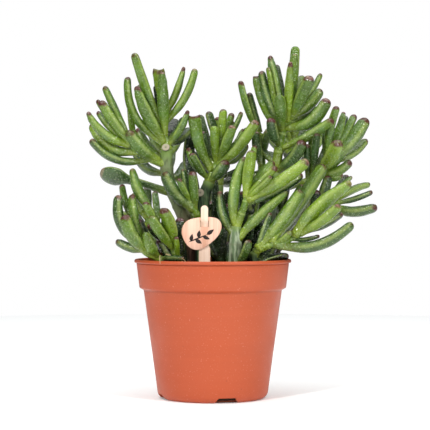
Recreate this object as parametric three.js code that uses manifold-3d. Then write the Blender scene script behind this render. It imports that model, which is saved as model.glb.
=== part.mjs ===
// A finger jade plant in a 12 cm nursery pot, with a wooden plant label.
// Millimetres, +Z up. The origin is the middle of the pot's underside, and the label faces -Y.
import * as THREE from "three";
import { mergeVertices } from "three/addons/utils/BufferGeometryUtils.js";
import Module from "manifold-3d";

// ---- Driving dimensions ----

// The whole plant
const PLANT_WIDTH = 221; // across the leaves, left to right
const PLANT_HEIGHT = 268.5; // from the ground to the tallest leaf tip
const LEAF_GIRTH = 1; // leaf thickness, against the widths in the leaf lists
const STEM_GIRTH = 1; // stem thickness, against the radii in the stem paths
const GAP = 0.3; // clearance between pieces that touch

// The pot: radii are worked inwards from the lip, heights down from the rim and up from the ground
const POT_HEIGHT = 106;
const LIP_RADIUS = 60;
const LIP_HEIGHT = 2.8;
const LIP_OVERHANG = 1.8; // lip beyond the band
const LIP_CHAMFER = 0.56; // off the lip's two outer edges
const BAND_HEIGHT = 21.8; // rim to the foot of the band
const BAND_DRAFT = 2.2; // the band is this much narrower at its foot
const STEP_WIDTH = 3.2; // foot of the band beyond the body
const STEP_DROP = 1.7; // the step's slanting underside
const BODY_DRAFT = 11.2; // the body is this much narrower at the ground
const CORNER_RADIUS = 4; // between the body and the floor
const WALL = 1.2;
const FLOOR = 1.4;

// Feet: four arched notches in the pot's bottom edge, each with a drain hole in its roof
const NOTCH_COUNT = 4;
const NOTCH_ANGLE = -75; // degrees from +X to the first notch
const NOTCH_FOOT_WIDTH = 19.5;
const NOTCH_TOP_WIDTH = 13;
const NOTCH_HEIGHT = 4;
const NOTCH_DEPTH = 8;
const DRAIN_RADIUS = 2.5;

// Soil
const SOIL_BELOW_RIM = 10;
const SOIL_CROWN = 1.5; // the middle stands this much higher than the edge
const SOIL_SHOULDER = [0.55, 0.75]; // where the crown bends: shares of its radius and its height

// Label: a disc threaded on a stick through a slot
const LABEL_X = -6.1;
const LABEL_Y = -33;
const DISC_WIDTH = 29.5;
const DISC_HEIGHT = 24.4;
const DISC_THICKNESS = 1.2;
const DISC_ABOVE_RIM = 20; // the disc's middle
const DISC_OFFSET = -2.25; // the disc's middle, sideways from the stick
// The disc's pebble shape, as shares of half its width and half its height
const DISC_OUTLINE = [
  [1, 0.28], [0.98, 0.65], [0.8, 0.9], [0.45, 1], [-0.1, 0.98], [-0.6, 0.85], [-0.9, 0.55],
  [-1, 0.05], [-0.86, -0.47], [-0.62, -0.83], [-0.3, -1], [0.03, -0.92], [0.45, -0.6], [0.82, -0.17],
];
const DISC_POINTS = 48; // around its edge
const STICK_THICKNESS = 1;
const TONGUE_WIDTH = 5.4;
const BLADE_WIDTH = 8.5;
const TONGUE_TOP = 41; // above the rim
const SLOT_ABOVE_RIM = 27.2;
const SLOT_HEIGHT = 5;
const BLADE_TOP = 10.8; // above the rim
const BEND_HEIGHT = 2.4; // the part of the stick that passes through the slot
const STICK_BURIED = 52; // below the soil

// ---- The plant ----

// The plant is drawn for these sizes, and place() fits it to the ones above.
const DRAWN_WIDTH = 221;
const DRAWN_HEIGHT = 268.5;
const DRAWN_RIM = 106;
const DRAWN_LIP = 60;
const GATHER_HEIGHT = 40; // above this height over the rim the pot's width has no more say

// Leaves at least this wide are pieces of their own. The others stay joined to their shoot's tip.
const LARGE_LEAF = 9.5;

// Each shoot has a path of [x, y, z, radius], from its foot to its growing tip.
// From path point "green" up it is soft and green, and below that it is a woody stem.
// Each leaf is [place along the path, tip x, tip y, tip z, width, bow, shape, turn]. The place counts
// path points, so 2.5 is half-way from point 2 to point 3. The bow is how far the middle of the
// leaf hangs below a straight line; a negative one arches up. The shape is finger if none is given,
// and a turn in degrees after it twists the leaf about its own middle line.
const SHOOTS = {
  left: {
    path: [
      [-14, 2, 66, 5.5],
      [-15, 2, 102, 5.4],
      [-19, 0, 128, 5.2],
      [-26, 0, 147, 5],
      [-32, 0, 160, 4.8],
      [-35, 0, 175, 4.8],
      [-35, 0, 189, 4.5],
      [-37, 0, 200, 2.8],
      [-38, 2, 214, 2],
    ],
    green: 6,
    leaves: [
      [7.2, -59, -4, 261, 7, 1],
      [6.8, -38, -9, 246.5, 8.5, 0, "pointed"],
      [8, -41, 6, 250, 9, 0, "trumpet"],
      [7.6, -43, 10, 238, 5.5, 0],
      [7.9, -22.5, 3, 252.5, 6.5, 1, "pointed"],
      [7.6, -14, -5, 250.5, 6.8, 3.5],
      [6.2, -64, -6, 244.5, 7, 9],
      [6.3, -57, -11, 236, 9.5, 2, "pointed"],
      [7.1, -55.5, 8, 238.5, 5.5, 2],
      [7, -48, 9, 225, 8.5, 0, "pointed"],
      [6.4, -23, -2, 214, 7, 1.5],
      [6.2, -19, -8, 218.5, 6, 2, "pointed"],
      [6.3, -18, 8, 206, 8, 1],
      [6.6, -29, 8, 213, 8, 0],
      [3.7, -84, -4, 172, 19, 0, "spoon", 55],
    ],
  },
  left_outer: {
    path: [
      [-36, 0, 178, 3.6],
      [-46, -3, 182, 3.2],
      [-57, -5, 188, 2.8],
      [-65, -6, 196, 2],
    ],
    green: 0,
    leaves: [
      [0.4, -63, -15, 203, 10, 2],
      [2.3, -63.5, 4, 222, 4.8, 0],
      [2.6, -82, -2, 237.5, 6.5, 0],
      [2.2, -84, -9, 225.5, 8, 1],
      [2.7, -88, 4, 227.5, 5, 1],
      [2.4, -94, -12, 217.5, 8, 5, "pointed"],
      [2.6, -88, 6, 219, 5.5, 2],
      [1.8, -92, 0, 210, 9, 8],
      [0.9, -92.5, -3, 197.5, 7, 8],
      [2.8, -72, 8, 214, 6, 1],
    ],
  },
  lower_left: {
    path: [
      [-27, -20, 66, 3.6],
      [-30, -22, 97, 3.4],
      [-40, -25, 107, 3],
      [-52, -27, 114, 2.6],
      [-57, -26, 130, 2.2],
      [-57, -24, 144, 1.8],
    ],
    green: 2,
    leaves: [
      [2.5, -64.5, -36, 139.5, 10, 4],
      [3.1, -69.5, -22, 154.5, 9, 7],
      [3.4, -72.5, -12, 149, 6, 5],
      [3, -59.5, -31, 154.5, 7.5, 1.5],
      [4.2, -68.5, -14, 162.5, 5, 3],
      [2.1, -49.5, -38, 126.5, 8.5, 1, "pointed"],
      [2.8, -72, -18, 120.5, 7, 1],
      [2.3, -55, -20, 136, 7, 0],
      [2, -22, -33, 107.5, 5, -1],
    ],
  },
  lower_left_side: {
    path: [
      [-21, -21, 66, 3],
      [-24, -24, 98, 2.8],
      [-28, -27, 112, 2.8],
      [-35, -27, 124, 2.6],
      [-43, -24, 136, 2.4],
      [-48, -22, 144, 2],
    ],
    green: 0,
    leaves: [
      [2.3, -49.8, -32, 149, 6.5, 1],
      [3.7, -43.5, -20, 157, 5, 0],
      [2.2, -36.5, -34, 144, 9, -3],
      [2.1, -45.5, -38, 138.5, 7.5, 0.5],
      [1.5, -27, -38, 123.5, 4, 0],
      [4.6, -60, -22, 174, 9, 1.5, "pointed"],
      [3.2, -34, -16, 139.5, 7, 0],
      [2.4, -47, -14, 133, 8, 0],
      [1.8, -33, -12, 132, 8, 0],
      [1.2, -24.5, -14, 137, 8, 0],
      [1, -40, -18, 121.5, 9, 0],
      [0.6, -24, -18, 120, 8, 0],
    ],
  },
  centre: {
    path: [
      [-8, -4, 66, 5.6],
      [-8, -5, 100, 5.4],
      [-8, -5, 138, 5.2],
      [-7, -4, 153, 4.8],
      [-3, -2, 164, 4.2],
      [2, 0, 175, 3.6],
      [6, 0, 187, 2.8],
      [8, 1, 197, 2],
    ],
    green: 4,
    leaves: [
      [4.6, -14, -7, 214.5, 9.5, 3, "trumpet"],
      [5.2, -9.5, 7, 216.5, 5.5, 1],
      [6, -3, 4, 218.5, 6.5, 0],
      [5.2, 1, -13, 206.5, 6.5, 0],
      [5.5, 8, -6, 219.5, 6.5, 0],
      [6, 14.5, 6, 217.5, 5.5, 0],
      [5.4, 15, -12, 206.5, 7.5, 0.5],
      [6.5, 21.5, 3, 218, 4.5, 1],
      [5.6, 23, -5, 205, 5, 2],
      [5.8, 26, 4, 206.5, 5, 2],
      [5, 32.5, -7, 210.5, 9, 2],
      [4.2, -18, -9, 190.8, 6, 3],
      [4.1, -16, -13, 185.7, 6, 1],
      [2.4, -17, 8, 202, 9, 8],
      [4, 10, -12, 180.5, 9, 1],
      [4.9, -7, -3, 203, 7, 2],
    ],
  },
  centre_side: {
    path: [
      [-8, -6, 134, 3.4],
      [-13, -12, 141, 3],
      [-17, -14, 150, 2.4],
    ],
    green: 0,
    leaves: [
      [1.1, -35.5, -17, 171.7, 11, 2],
      [1.8, -25.6, -19, 166.7, 5, 0],
      [1, -15.2, -21, 172, 6.5, 0],
      [2, -22.2, -13, 174, 5, 0],
    ],
  },
  mid_right: {
    path: [
      [17, -27, 66, 5.2],
      [17, -28, 100, 5.2],
      [17, -29, 118, 4.6],
      [17.5, -29, 131, 3.6],
      [21.5, -30, 141, 2.9],
      [24.5, -31, 150, 2.5],
      [25, -30, 157, 1.8],
    ],
    green: 3,
    leaves: [
      [2.8, 24, -31, 182.5, 9.5, -6],
      [5.2, 29, -36, 187, 8, -1],
      [5.6, 31.5, -22, 191.5, 5, -1],
      [5, 69.5, -34, 180.5, 10, 1],
      [4.8, 66.5, -26, 170.5, 8, 2],
      [5.5, 45.5, -22, 179.4, 6.5, -2],
      [5.3, 47, -38, 175.5, 6, -1],
      [5.1, 42.5, -42, 168.4, 5, 0],
      [2.1, 55, -40, 156.8, 9, -2.5, "pointed"],
      [2.3, 6, -24, 157, 8.5, 3, "pointed"],
      [1, 26.5, -38, 121, 6.5, 1.5],
    ],
  },
  lower_right: {
    path: [
      [30, -24, 66, 3.4],
      [31, -26, 98, 3.2],
      [31, -28, 112, 2.9],
      [42, -31, 117, 2.4],
      [52, -33, 119, 2.2],
      [60, -33, 123, 2],
      [69, -32, 127, 1.7],
    ],
    green: 2,
    leaves: [
      [1.5, 42.5, -38, 141, 7, 0, "pointed"],
      [2.1, 65, -42, 157.7, 12, 1],
      [2.5, 67, -30, 162, 7, 1],
      [3.1, 83, -30, 177, 10.5, 0],
      [5, 101.5, -38, 164, 12, -4, "pointed"],
      [5.6, 104.5, -25, 168.6, 4, -2],
      [5.5, 92.5, -44, 147.1, 8, 1],
      [5.9, 96.5, -25, 141, 6, 1],
      [3.2, 103, -38, 134, 9.5, 8],
      [4.6, 79.5, -26, 124.3, 4, 1],
      [3.4, 58, -38, 127.7, 5, 0.5],
      [3.2, 72, -22, 152, 9, 0],
    ],
  },
  inner_right: {
    path: [
      [20, 12, 66, 3.8],
      [22, 13, 100, 3.7],
      [31, 14, 140, 3.4],
      [37, 14, 168, 3.1],
      [38, 14, 188, 2.6],
      [37, 13, 202, 2],
    ],
    green: 1,
    leaves: [
      [4.8, 21.5, 8, 242, 5.5, 2],
      [5, 28.5, 12, 233.5, 6, 0],
      [3.4, 33, 4, 203, 7, 2],
      [3.8, 42, 6, 204, 6, 0],
      [3.2, 22, 4, 172, 8, 2],
      [2.4, 44, 0, 166, 9, 2],
      [2.2, 24, -4, 158, 9, 1],
      [1.6, 38, -6, 142, 9, 2],
      [1.4, 12, -6, 148, 9, 2],
      [1.3, 28, -12, 132, 8, 1],
      [1.2, 13, 2, 134, 9, 1],
      [2, 26, 2, 150, 9, 1],
      [1.1, 42, 0, 119, 9, 1],
    ],
  },
  right: {
    path: [
      [34, 4, 66, 4.2],
      [35, 4, 100, 4.1],
      [44, 4, 140, 3.9],
      [48.5, 4, 172, 3.6],
      [50.5, 4, 188, 3.6],
      [53, 3, 202, 3.4],
      [59, 3, 212, 2.5],
      [62, 3, 222, 2],
    ],
    green: 3,
    leaves: [
      [4.1, 90.5, -9, 211.6, 7.5, 1],
      [3, 68, -8, 195.8, 9.5, 2.5],
      [4.9, 34.2, -2, 245.5, 7, 4, "trumpet"],
      [5.1, 38, -6, 249.5, 7.5, 2],
      [5.3, 44.5, 1, 261, 9.5, -1, "pointed"],
      [5.8, 49.5, 6, 255.5, 5, 0],
      [5.2, 42.5, -7, 252, 4.5, 1],
      [5, 50.5, -11, 229.5, 8.5, 0],
      [4.2, 44, -10, 213, 7.5, 2.5],
      [6, 63.5, 6, 268.5, 7.5, 0],
      [5.9, 62.3, -4, 261, 8, 0, "pointed"],
      [5.7, 58.3, -9, 254, 6.5, 1, "pointed"],
      [6.4, 69, 6, 247, 7, 0],
      [6, 73, -5, 243.5, 9, 0],
      [6.6, 83, 8, 248.5, 5, 2],
      [6.1, 82, 2, 235.5, 9, 1.5],
      [5.3, 86.5, -8, 228, 10, 6],
      [3.3, 35, 14, 203, 6, 3],
      [5.6, 77, 10, 226, 8, 2],
      [3.2, 62, 8, 188, 8, 1],
    ],
  },
  upper_right: {
    path: [
      [47.5, 6, 160, 3],
      [60, 8, 162, 2.9],
      [74, 6, 166, 2.8],
      [84, 3, 173, 2.6],
      [91, 1, 181, 2.3],
      [96, 1, 191, 1.9],
    ],
    green: 1,
    leaves: [
      [3.3, 94, -7, 221.5, 6, -3],
      [4, 101, 4, 218.5, 6.5, 0, "pointed"],
      [4.3, 103.5, 10, 216, 5, 0],
      [2.4, 97, 10, 206, 9, 0],
      [4.6, 109.3, 0, 216.5, 6, 0],
      [4.1, 117, -7, 213.5, 11, 2],
      [3.8, 118.7, 5, 198, 6.5, 3],
      [2.7, 94.5, -13, 195, 10, 1],
      [3.1, 100.5, -7, 190.5, 7, 2],
      [2.5, 105, -14, 181, 8, 2.5],
      [1.9, 72, -4, 193, 5, 0],
      [2.1, 75.5, 2, 198, 5, 0],
      [2.2, 79, -8, 201, 5.5, 0],
      [2.6, 99, -10, 171, 8, 1],
      [3.4, 88, 8, 207, 7, 0],
    ],
  },
  far_right: {
    path: [
      [40, 10, 66, 3.4],
      [41, 10, 99, 3.2],
      [58, 6, 122, 2.9],
      [76, 2, 138, 2.6],
      [88, 0, 146, 2.4],
      [97, 0, 149, 1.9],
    ],
    green: 3,
    leaves: [
      [4.2, 121, 2, 163.5, 6, -3],
      [4.6, 121, -5, 157.5, 5, 0.5],
      [4, 124.5, -3, 146.5, 9, 3],
      [3.2, 88, -6, 169, 8.5, 0],
      [3.6, 104, 9, 170, 7, 1],
      [3, 78, -8, 158, 9, 0],
      [3.2, 96, -2, 160, 8, 1],
      [3.1, 84, 14, 152, 9, 1],
    ],
  },
  back_left: {
    path: [
      [-12, 24, 66, 4.2],
      [-13, 26, 99, 4.1],
      [-22, 34, 132, 3.8],
      [-33, 40, 160, 3.4],
      [-39, 43, 182, 2.8],
      [-40, 44, 194, 2.2],
    ],
    green: 3,
    leaves: [
      [4.9, -44, 48, 228, 7, 1],
      [4.6, -34, 38, 222, 7, 1],
      [4.4, -53, 41, 222, 7, 2],
      [4.6, -38, 60, 220, 8, 2],
      [4.1, -59, 52, 208, 8, 3],
      [4.2, -48, 66, 204, 8, 3],
      [4, -26, 58, 206, 7, 2],
      [3.7, -34, 74, 192, 9, 4],
      [3.5, -62, 60, 192, 8, 6],
      [3.3, -22, 66, 182, 8, 4],
    ],
  },
  back_mid: {
    path: [
      [6, 28, 66, 4],
      [6, 30, 99, 4],
      [5, 36, 135, 3.7],
      [5, 42, 162, 3.2],
      [8, 45, 180, 2.5],
      [9, 46, 190, 2],
    ],
    green: 3,
    leaves: [
      [4.4, -8, 50, 208, 7, 2],
      [4.8, 4, 42, 216, 7, 0],
      [4.7, 14, 52, 214, 8, 1],
      [4.3, 23, 46, 206, 7, 2],
      [4.2, -4, 64, 200, 8, 3],
      [4.1, 10, 68, 204, 8, 3],
      [4, 26, 62, 196, 8, 3],
      [3.5, -16, 56, 190, 8, 4],
      [3.4, 30, 56, 184, 7, 3],
      [3.3, 1, 74, 184, 9, 5],
      [3.1, 20, 72, 176, 8, 4],
    ],
  },
  back_right: {
    path: [
      [28, 26, 66, 4.2],
      [30, 28, 99, 4.1],
      [42, 36, 135, 3.8],
      [56, 42, 165, 3.4],
      [62, 45, 188, 2.8],
      [64, 46, 200, 2.2],
    ],
    green: 3,
    leaves: [
      [4.6, 52, 50, 236, 7, 1],
      [4.9, 62, 48, 244, 8, 0],
      [4.8, 74, 52, 236, 7, 1],
      [4.3, 44, 44, 226, 7, 3],
      [4.4, 84, 46, 222, 8, 4],
      [4.5, 58, 64, 228, 8, 3],
      [4.3, 73, 68, 220, 8, 4],
      [4, 44, 64, 208, 8, 3],
      [3.9, 88, 60, 206, 8, 5],
      [3.8, 61, 78, 206, 9, 6],
      [3.5, 80, 76, 192, 8, 6],
      [3.4, 46, 74, 190, 8, 5],
    ],
  },
  back_low_left: {
    path: [
      [-26, 18, 66, 3.4],
      [-31, 22, 99, 3.2],
      [-42, 31, 112, 2.8],
      [-50, 38, 126, 2.4],
      [-52, 41, 140, 2],
    ],
    green: 0,
    leaves: [
      [3.7, -62, 42, 156, 8, 1],
      [3.8, -53, 54, 160, 8, 1],
      [3.3, -70, 36, 142, 8, 4],
      [3.1, -62, 58, 140, 9, 3],
      [3.2, -44, 62, 144, 8, 2],
      [2.7, -63, 46, 127, 8, 2],
      [2.3, -38, 62, 126, 8, 2],
      [2.6, -56, 66, 120, 8, 1],
    ],
  },
  back_low_right: {
    path: [
      [24, 32, 66, 3.4],
      [27, 36, 99, 3.2],
      [38, 44, 114, 2.8],
      [50, 50, 128, 2.4],
      [54, 53, 142, 2],
    ],
    green: 0,
    leaves: [
      [3.6, 44, 50, 162, 8, 0],
      [3.9, 58, 54, 168, 8, 0],
      [3.7, 68, 48, 160, 8, 2],
      [3.5, 52, 70, 158, 9, 3],
      [3.3, 68, 66, 150, 8, 3],
      [3, 77, 54, 142, 8, 4],
      [2.8, 34, 62, 146, 8, 2],
      [2.7, 50, 78, 138, 8, 3],
      [2.6, 68, 70, 126, 8, 3],
      [2.2, 36, 72, 124, 8, 2],
    ],
  },
  back_low_mid: {
    path: [
      [-4, 38, 66, 3],
      [-5, 42, 99, 2.9],
      [-8, 54, 115, 2.5],
      [-9, 60, 129, 2.1],
    ],
    green: 0,
    leaves: [
      [2.7, -20, 62, 146, 8, 1],
      [2.9, -8, 68, 156, 8, 0],
      [2.6, 5, 62, 148, 8, 1],
      [2.4, -24, 74, 130, 8, 2],
      [2.3, -8, 82, 138, 9, 3],
      [2.2, 9, 76, 130, 8, 2],
      [2, -16, 82, 117, 8, 1],
      [1.9, 8, 34, 132, 9, 1],
      [1.6, -3, 22, 150, 9, 0],
    ],
  },
};

// Sections along a leaf: [place from foot to tip, share of its width, thickness as a share of its width]
const LEAF_SHAPES = {
  finger: [
    [0, 0.4, 0.36],
    [0.36, 0.8, 0.7],
    [0.84, 1, 0.84],
    [1, 0.5, 0.42],
  ],
  pointed: [
    [0, 0.4, 0.36],
    [0.4, 1, 0.84],
    [0.8, 0.8, 0.68],
    [1, 0.3, 0.26],
  ],
  trumpet: [
    [0, 0.4, 0.36],
    [0.4, 0.7, 0.64],
    [0.9, 0.96, 0.84],
    [1, 1.02, 0.92],
  ],
  spoon: [
    [0, 0.34, 0.26],
    [0.45, 0.32, 0.2],
    [0.64, 0.44, 0.18],
    [0.78, 0.86, 0.2],
    [0.91, 1, 0.18],
    [1, 0.5, 0.12],
  ],
};
const LEAF_SIDES = 5;
const STEM_SIDES = 7;
const FOOT_INSET = 0.6; // a leaf starts this far from its stem's middle, in stem radii
const TIP_DOME = 0.12; // how far a leaf's end bulges, as a share of its width

const clamp = THREE.MathUtils.clamp;
const lerp = THREE.MathUtils.lerp;
const UP = new THREE.Vector3(0, 0, 1);

// A point of the drawn plant in the part: roots keep inside the pot, leaves spread with the plant.
function place(x, y, z) {
  const above = z - DRAWN_RIM;
  const rise = (PLANT_HEIGHT - POT_HEIGHT) / (DRAWN_HEIGHT - DRAWN_RIM);
  const spread = lerp(
    LIP_RADIUS / DRAWN_LIP,
    PLANT_WIDTH / DRAWN_WIDTH,
    clamp(above / GATHER_HEIGHT, 0, 1),
  );
  return new THREE.Vector3(x * spread, y * spread, POT_HEIGHT + above * (above > 0 ? rise : 1));
}

// The path as points with radii, ready to sweep or to grow leaves on.
function stemPoints(path) {
  return path.map(([x, y, z, radius]) => ({
    at: place(x, y, z),
    radius: radius * STEM_GIRTH,
  }));
}

function footOn(points, along, tip) {
  const i = Math.min(Math.floor(along), points.length - 2);
  const middle = points[i].at.clone().lerp(points[i + 1].at, along - i);
  const radius = lerp(points[i].radius, points[i + 1].radius, along - i);
  const outward = tip.clone().sub(middle).normalize();
  return middle.addScaledVector(outward, radius * FOOT_INSET);
}

// A leaf's middle line, from the middle of its stem to its tip.
function leafCurve(foot, tip, bow) {
  const chord = tip.clone().sub(foot).normalize();
  const inward = UP.clone().addScaledVector(chord, -chord.z);
  inward.normalize();
  const control = foot.clone().lerp(tip, 0.5).addScaledVector(inward, -2 * bow);
  return new THREE.QuadraticBezierCurve3(foot, control, tip);
}

function shareAt(shape, t) {
  let i = 0;
  while (i < shape.length - 2 && t > shape[i + 1][0]) i += 1;
  const [t0, w0, h0] = shape[i];
  const [t1, w1, h1] = shape[i + 1];
  const f = (t - t0) / (t1 - t0);
  return (lerp(w0, w1, f) + lerp(h0, h1, f)) / 2;
}

// ---- Leaves are eased apart, front to back, until they pass each other clear ----

const EASE_SAMPLES = 8;
const EASE_FROM = 0.3; // nearer their stem than this share of their length, leaves may touch
const EASE_ROUNDS = 60;
const EASE_MOST = 14; // how far a tip may go
const EASE_GAP = 0.8;
const STEM_STEP = 6; // between the places on a stem that leaves keep clear of

function easeSamples(leaf) {
  return Array.from({ length: EASE_SAMPLES }, (_, k) => {
    const t = lerp(EASE_FROM, 1, k / (EASE_SAMPLES - 1));
    const radius = (leaf.width / 2) * shareAt(LEAF_SHAPES[leaf.shape], t);
    return { at: leaf.curve.getPoint(t), radius, weight: t };
  });
}

function stemSamples(points) {
  const samples = [];
  for (let i = 0; i + 1 < points.length; i += 1) {
    const steps = Math.ceil(points[i].at.distanceTo(points[i + 1].at) / STEM_STEP);
    for (let k = 0; k < steps; k += 1) {
      const f = k / steps;
      const at = points[i].at.clone().lerp(points[i + 1].at, f);
      samples.push({ at, radius: lerp(points[i].radius, points[i + 1].radius, f), weight: 0 });
    }
  }
  return samples;
}

// Two samples that overlap as seen from the front, and how far apart in depth they must be.
function crossing(a, b, i, j) {
  const reach = a.radius + b.radius + EASE_GAP;
  const beside = Math.hypot(a.at.x - b.at.x, a.at.z - b.at.z);
  if (beside >= reach) return null;
  const depth = a.at.y - b.at.y;
  const order = Math.abs(depth) > 1e-6 ? Math.sign(depth) : Math.sign(i - j);
  return { i, j, order, depth, needed: Math.sqrt(reach * reach - beside * beside), a, b };
}

function findCrossings(leaves, stems) {
  const samples = leaves.map(easeSamples);
  const found = [];
  for (let i = 0; i < leaves.length; i += 1) {
    for (let j = 0; j < i; j += 1) {
      for (const a of samples[i]) {
        for (const b of samples[j]) found.push(crossing(a, b, i, j));
      }
    }
    for (const [shoot, stem] of Object.entries(stems)) {
      if (shoot === leaves[i].shoot) continue;
      for (const a of samples[i]) {
        for (const b of stem) found.push(crossing(a, b, i, -1));
      }
    }
  }
  return found.filter(Boolean);
}

function easeApart(leaves, stems) {
  const crossings = findCrossings(leaves, stems);
  const moved = new Float64Array(leaves.length);
  for (let round = 0; round < EASE_ROUNDS; round += 1) {
    const back = new Float64Array(leaves.length);
    const front = new Float64Array(leaves.length);
    for (const { i, j, order, depth, needed, a, b } of crossings) {
      const other = j < 0 ? 0 : moved[j] * b.weight;
      const short = needed - order * (depth + moved[i] * a.weight - other);
      if (short <= 0) continue;
      const share = j < 0 ? short : short / 2;
      const push = (order * share) / a.weight;
      back[i] = Math.max(back[i], push);
      front[i] = Math.min(front[i], push);
      if (j < 0) continue;
      const pushed = (-order * share) / b.weight;
      back[j] = Math.max(back[j], pushed);
      front[j] = Math.min(front[j], pushed);
    }
    for (let i = 0; i < leaves.length; i += 1) {
      moved[i] = clamp(moved[i] + (back[i] + front[i]) / 2, -EASE_MOST, EASE_MOST);
    }
  }
  leaves.forEach(({ curve }, i) => {
    curve.v1.y += moved[i] / 2;
    curve.v2.y += moved[i];
  });
}

// ---- Solids ----

const wasm = await Module();
wasm.setup();

function solidOf(geometry) {
  const bare = geometry.index ? geometry.toNonIndexed() : geometry.clone();
  bare.deleteAttribute("normal");
  bare.deleteAttribute("uv");
  const merged = mergeVertices(bare, 1e-4);
  const index = merged.index.array;
  const triangles = [];
  for (let i = 0; i < index.length; i += 3) {
    const [a, b, c] = [index[i], index[i + 1], index[i + 2]];
    if (a !== b && b !== c && c !== a) triangles.push(a, b, c);
  }
  return new wasm.Manifold(
    new wasm.Mesh({
      numProp: 3,
      vertProperties: merged.attributes.position.array,
      triVerts: new Uint32Array(triangles),
    }),
  );
}

function geometryOf(solid) {
  const { vertProperties, triVerts, numProp } = solid.getMesh();
  const positions = new Float32Array((vertProperties.length / numProp) * 3);
  for (let i = 0; i < positions.length / 3; i += 1) {
    for (let axis = 0; axis < 3; axis += 1) {
      positions[i * 3 + axis] = vertProperties[i * numProp + axis];
    }
  }
  const geometry = new THREE.BufferGeometry();
  geometry.setAttribute("position", new THREE.BufferAttribute(positions, 3));
  geometry.setIndex(Array.from(triVerts));
  geometry.computeVertexNormals();
  return geometry;
}

const joined = (solids) => solids.reduce((all, next) => all.add(next));

// The piece of a cut solid that counts: a cut may leave a crumb beyond its neighbour.
function largest(solid) {
  const bodies = solid.decompose();
  return bodies.reduce((best, body) => (body.volume() > best.volume() ? body : best));
}

// A closed sweep through rings of { at, along, across, width, height }, domed at its far end.
function sweep(rings, sides, dome) {
  const positions = [];
  const push = (v) => positions.push(v.x, v.y, v.z);
  for (const { at, along, across, width, height } of rings) {
    const normal = new THREE.Vector3().crossVectors(along, across);
    for (let k = 0; k < sides; k += 1) {
      const angle = (2 * Math.PI * k) / sides;
      push(
        at
          .clone()
          .addScaledVector(across, Math.cos(angle) * width)
          .addScaledVector(normal, Math.sin(angle) * height),
      );
    }
  }
  const last = rings[rings.length - 1];
  const foot = rings.length * sides;
  push(rings[0].at);
  push(last.at.clone().addScaledVector(last.along, dome));
  const index = [];
  for (let k = 0; k < sides; k += 1) {
    const next = (k + 1) % sides;
    for (let ring = 0; ring + 1 < rings.length; ring += 1) {
      const low = ring * sides;
      const high = low + sides;
      index.push(low + k, low + next, high + next, low + k, high + next, high + k);
    }
    const top = (rings.length - 1) * sides;
    index.push(foot, next, k, foot + 1, top + k, top + next);
  }
  const geometry = new THREE.BufferGeometry();
  geometry.setAttribute("position", new THREE.Float32BufferAttribute(positions, 3));
  geometry.setIndex(index);
  return solidOf(geometry);
}

// A stem through its points, grown by "extra" all round.
function stemSolid(points, extra) {
  const rings = points.map(({ at, radius }, i) => {
    const before = points[Math.max(i - 1, 0)].at;
    const after = points[Math.min(i + 1, points.length - 1)].at;
    const along = after.clone().sub(before).normalize();
    const across = new THREE.Vector3(0, 1, 0).cross(along).normalize();
    return { at: at.clone(), along, across, width: radius + extra, height: radius + extra };
  });
  rings[0].at.addScaledVector(rings[0].along, -extra);
  rings[rings.length - 1].at.addScaledVector(rings[rings.length - 1].along, extra);
  return sweep(rings, STEM_SIDES, points[points.length - 1].radius / 2);
}

// A leaf, grown by "extra" all round. Its upper face looks back at its stem, but for its turn.
function leafSolid({ curve, width, shape, turn }, extra) {
  const side = UP.clone().cross(curve.v2.clone().sub(curve.v0));
  const rings = LEAF_SHAPES[shape].map(([t, wide, thick]) => {
    const along = curve.getTangent(t);
    const across = side.clone().addScaledVector(along, -side.dot(along)).normalize();
    across.applyAxisAngle(along, turn);
    return {
      at: curve.getPoint(t),
      along,
      across,
      width: (width / 2) * wide + extra,
      height: (width / 2) * thick + extra,
    };
  });
  const last = rings[rings.length - 1];
  last.at.addScaledVector(last.along, extra);
  return sweep(rings, LEAF_SIDES, width * TIP_DOME);
}

// A closed turned shape from a profile of [radius, height] that starts and ends on the axis.
function turned(profile, segments) {
  const points = profile.map(([radius, height]) => new THREE.Vector2(radius, height));
  return solidOf(new THREE.LatheGeometry(points, segments).rotateX(Math.PI / 2));
}

// ---- Pot and soil ----

const POT_SEGMENTS = 36;
const DRAIN_SEGMENTS = 16;
const bandTopRadius = LIP_RADIUS - LIP_OVERHANG;
const bandFootRadius = bandTopRadius - BAND_DRAFT;
const bodyTopRadius = bandFootRadius - STEP_WIDTH;
const footRadius = bodyTopRadius - BODY_DRAFT;
const bandFootZ = POT_HEIGHT - BAND_HEIGHT;
const bodyTopZ = bandFootZ - STEP_DROP;
const bodyRadius = (z) => footRadius + (BODY_DRAFT * z) / bodyTopZ;
const soilZ = POT_HEIGHT - SOIL_BELOW_RIM;

// The inner wall from the floor to the rim, inset by the given distance.
function innerWall(inset) {
  return [
    [bodyRadius(CORNER_RADIUS) - WALL - inset, FLOOR + CORNER_RADIUS / 2],
    [bodyTopRadius - WALL - inset, bodyTopZ + FLOOR],
    [bandFootRadius - WALL - inset, bandFootZ + FLOOR],
    [bandTopRadius - WALL - inset, POT_HEIGHT - LIP_HEIGHT],
  ];
}

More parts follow.
